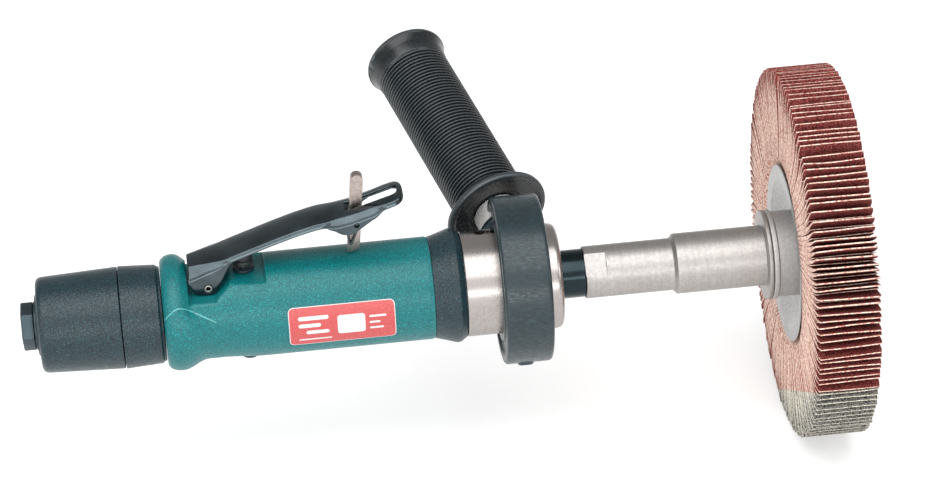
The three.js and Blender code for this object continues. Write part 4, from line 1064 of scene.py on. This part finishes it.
def build_clamp():
    rear, front = station(118.4), station(99)
    bore = 21.7
    ring = lathe([
        (rear, bore, 0.3), (rear, 24.5, 0.5), (rear + 1.2, 25.1, 0.5), (rear + 1.2, 30.4, 0.5),
        (rear, 31, 0.5), (rear, 34.3, 2.0), (front, 34.3, 2.0), (front, bore, 0.4)], 160, 0.4, 8)
    clamp = make_piece("clamp_ring_body", ring, "ring", "side_handle", "clamp_ring")
    boss = lathe([(16, 0), (16, 13.4), (27.2, 13.4, 1.2), (29.6, 12.3, 0.3), (29.6, 0)], 96)
    combine(clamp, on_handle(boss), "UNION")

    screw_side = polar(0, 1, math.radians(-122.6))

    def on_screw(shape):
        return along(shape, screw_side, (station(109.8), 0, 0))

    carve(clamp, [
        bar(rear - 15, front + 5, bore, 160), on_handle(bar(29.6, 60, 12.7)), on_handle(bar(10, 60, 5.4, 32)),
        on_screw(bar(31.4, 40, 4, 32)), on_screw(bar(18, 34, 2.8, 24))])
    add_bevel(clamp, 0.25, 2, 50)
    screw = lathe([(22, 0), (22, 2.5), (31.8, 2.5, 0), (31.8, 3.6), (34.2, 3.6, 0.6), (35.3, 2.6, 0.8),
                   (35.5, 0)], 48)
    head = make_piece("clamp_set_screw", on_screw(screw), "inlet", "side_handle", "clamp_screw")
    carve(head, [on_screw(hex_prism(34, 37, 3.0))])


def build_handle():
    bushing = on_handle(sleeve(29.9, 39.7, 5.3, 10, 96, 0.4))
    make_piece("handle_bushing_sleeve", bushing, "bright", "side_handle", "handle_bushing")
    face, end = 38.3, 137.9
    profile = [(40, 5.3), (40, 12), (face + 0.9, 12.6, 0.4), (face + 0.9, 18.6, 0.3), (face, 19.6, 0.4),
               (face, 21.85, 0.9), (face + 2.2, 21.85, 0.8), (face + 3.6, 20.2, 1.4), (face + 6.0, 17.2, 2.0),
               (face + 8.2, 15.9, 1.0)]
    ribs, start, stop, crest, groove = 44, face + 9.0, 127.2, 15.6, 14.5
    pitch = (stop - start) / ribs
    for i in range(ribs):
        s = start + i * pitch
        profile += [(s, groove, 0.15), (s + 0.3 * pitch, groove, 0.15), (s + 0.5 * pitch, crest, 0.22),
                    (s + 0.8 * pitch, crest, 0.22)]
    profile += [(stop, 14.8, 0.2), (stop + 0.6, crest, 0.3), (132.8, 16.4, 2.0), (136.0, 17.3, 0.5),
                (136.4, 17.75, 0.35), (end, 17.6, 0.6), (end, 0), (131.4, 0), (131.4, 5.3)]
    make_piece("handle_rubber_grip", on_handle(lathe(profile, 112, 0.3, 2)), "grip", "side_handle",
               "handle_grip", 60)


# ---- Carried-over CAD pieces, stage, light and camera ----

INNER_LOOKS = {
    "steel": "valve_spring rotor sun_pinion planet_gear_1 planet_gear_2 planet_gear_3 ring_gear"
             " bearing_spacer handle_stud",
    "collar": "rear_rotor_bearing front_rotor_bearing rear_spindle_bearing front_spindle_bearing"
              " planet_pin_1 planet_pin_2 planet_pin_3",
    "iron": "rear_end_plate front_end_plate motor_cylinder",
    "brass": "inlet_screen valve_seat",
    "rubber": "spindle_seal",
    "felt": "muffler_felt",
    "resin": "wheel_core",
    "blade": "rotor_blade_1 rotor_blade_2 rotor_blade_3 rotor_blade_4 rotor_blade_5",
}


def dress_inner_pieces():
    for look, names in INNER_LOOKS.items():
        for name in names.split():
            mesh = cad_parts[name].data
            mesh.materials.clear()
            mesh.materials.append(LOOKS[look])


def build_stage():
    look = Look("pale_floor", roughness=0.7, specular=0.2)
    clouds = look.noise(0.004, 2.0)
    tone = look.ramp(clouds, [(0.3, (0.68, 0.68, 0.68)), (0.7, (0.72, 0.72, 0.72))])
    look.finish(tone, None, (look.noise(0.02, 2.0), 0.05))
    look.inputs["Emission Color"].default_value = (1, 1, 1, 1)
    look.inputs["Emission Strength"].default_value = 0.42
    bpy.ops.mesh.primitive_plane_add(size=8, location=(-0.17, 0, -0.0768))
    floor = bpy.context.object
    floor.name = "studio_floor"
    floor.data.materials.append(look.material)


def add_softbox(name, place, width, height, watts):
    """A soft light that faces the middle of the tool."""
    data = bpy.data.lights.new(name, "AREA")
    data.shape = "RECTANGLE"
    data.size, data.size_y = width, height
    data.energy = watts
    light = bpy.data.objects.new(name, data)
    bpy.context.scene.collection.objects.link(light)
    light.location = place
    light.rotation_euler = (Vector((-0.17, 0, 0)) - Vector(place)).to_track_quat("-Z", "Y").to_euler()


def build_light():
    world = bpy.data.worlds.new("studio")
    bpy.context.scene.world = world
    world.use_nodes = True
    tree = world.node_tree
    direction = add_node(tree, "TexCoord", {}).outputs["Generated"]
    height = add_node(tree, "SeparateXYZ", {"Vector": direction}).outputs["Z"]
    share = add_node(tree, "MapRange", {"Value": height, "From Min": -1, "From Max": 1}).outputs["Result"]
    levels = [(0.0, 0.8), (0.46, 0.8), (0.56, 0.9), (0.66, 0.72), (1.0, 0.72)]
    sky = add_ramp(tree, share, [(position, (level, level, level)) for position, level in levels])
    background = tree.nodes["Background"]
    tree.links.new(sky, background.inputs["Color"])
    background.inputs["Strength"].default_value = 0.65
    add_softbox("overhead_box", (-0.25, -0.5, 1.3), 1.9, 1.3, 23)
    add_softbox("front_box", (-0.3, -2.1, 0.36), 2.4, 0.5, 17)
    add_softbox("camera_box", (-0.5, -2.1, 1.25), 2.2, 0.9, 7)
    add_softbox("rear_box", (-1.6, -0.9, 0.7), 0.8, 0.8, 5)
    add_softbox("wheel_box", (1.3, -0.9, 0.9), 0.8, 0.8, 5)


def build_camera():
    data = bpy.data.cameras.new("camera")
    data.sensor_width = 36
    data.lens = 139.98
    data.clip_start, data.clip_end = 0.05, 20
    camera = bpy.data.objects.new("camera", data)
    bpy.context.scene.collection.objects.link(camera)
    camera.location = (-0.27784, -1.23451, 0.78982)
    camera.rotation_euler = [math.radians(a) for a in (58.147, 2.3646, -6.6178)]
    bpy.context.scene.camera = camera


build_camera()
build_light()
build_stage()
build_inlet()
build_muffler()
build_housing()
build_label()
build_valve()
build_lever()
build_lock()
build_front()
build_arbor()
build_wheel_metal()
build_flaps()
build_clamp()
build_handle()
dress_inner_pieces()
bpy.context.scene.view_settings.view_transform = "Standard"
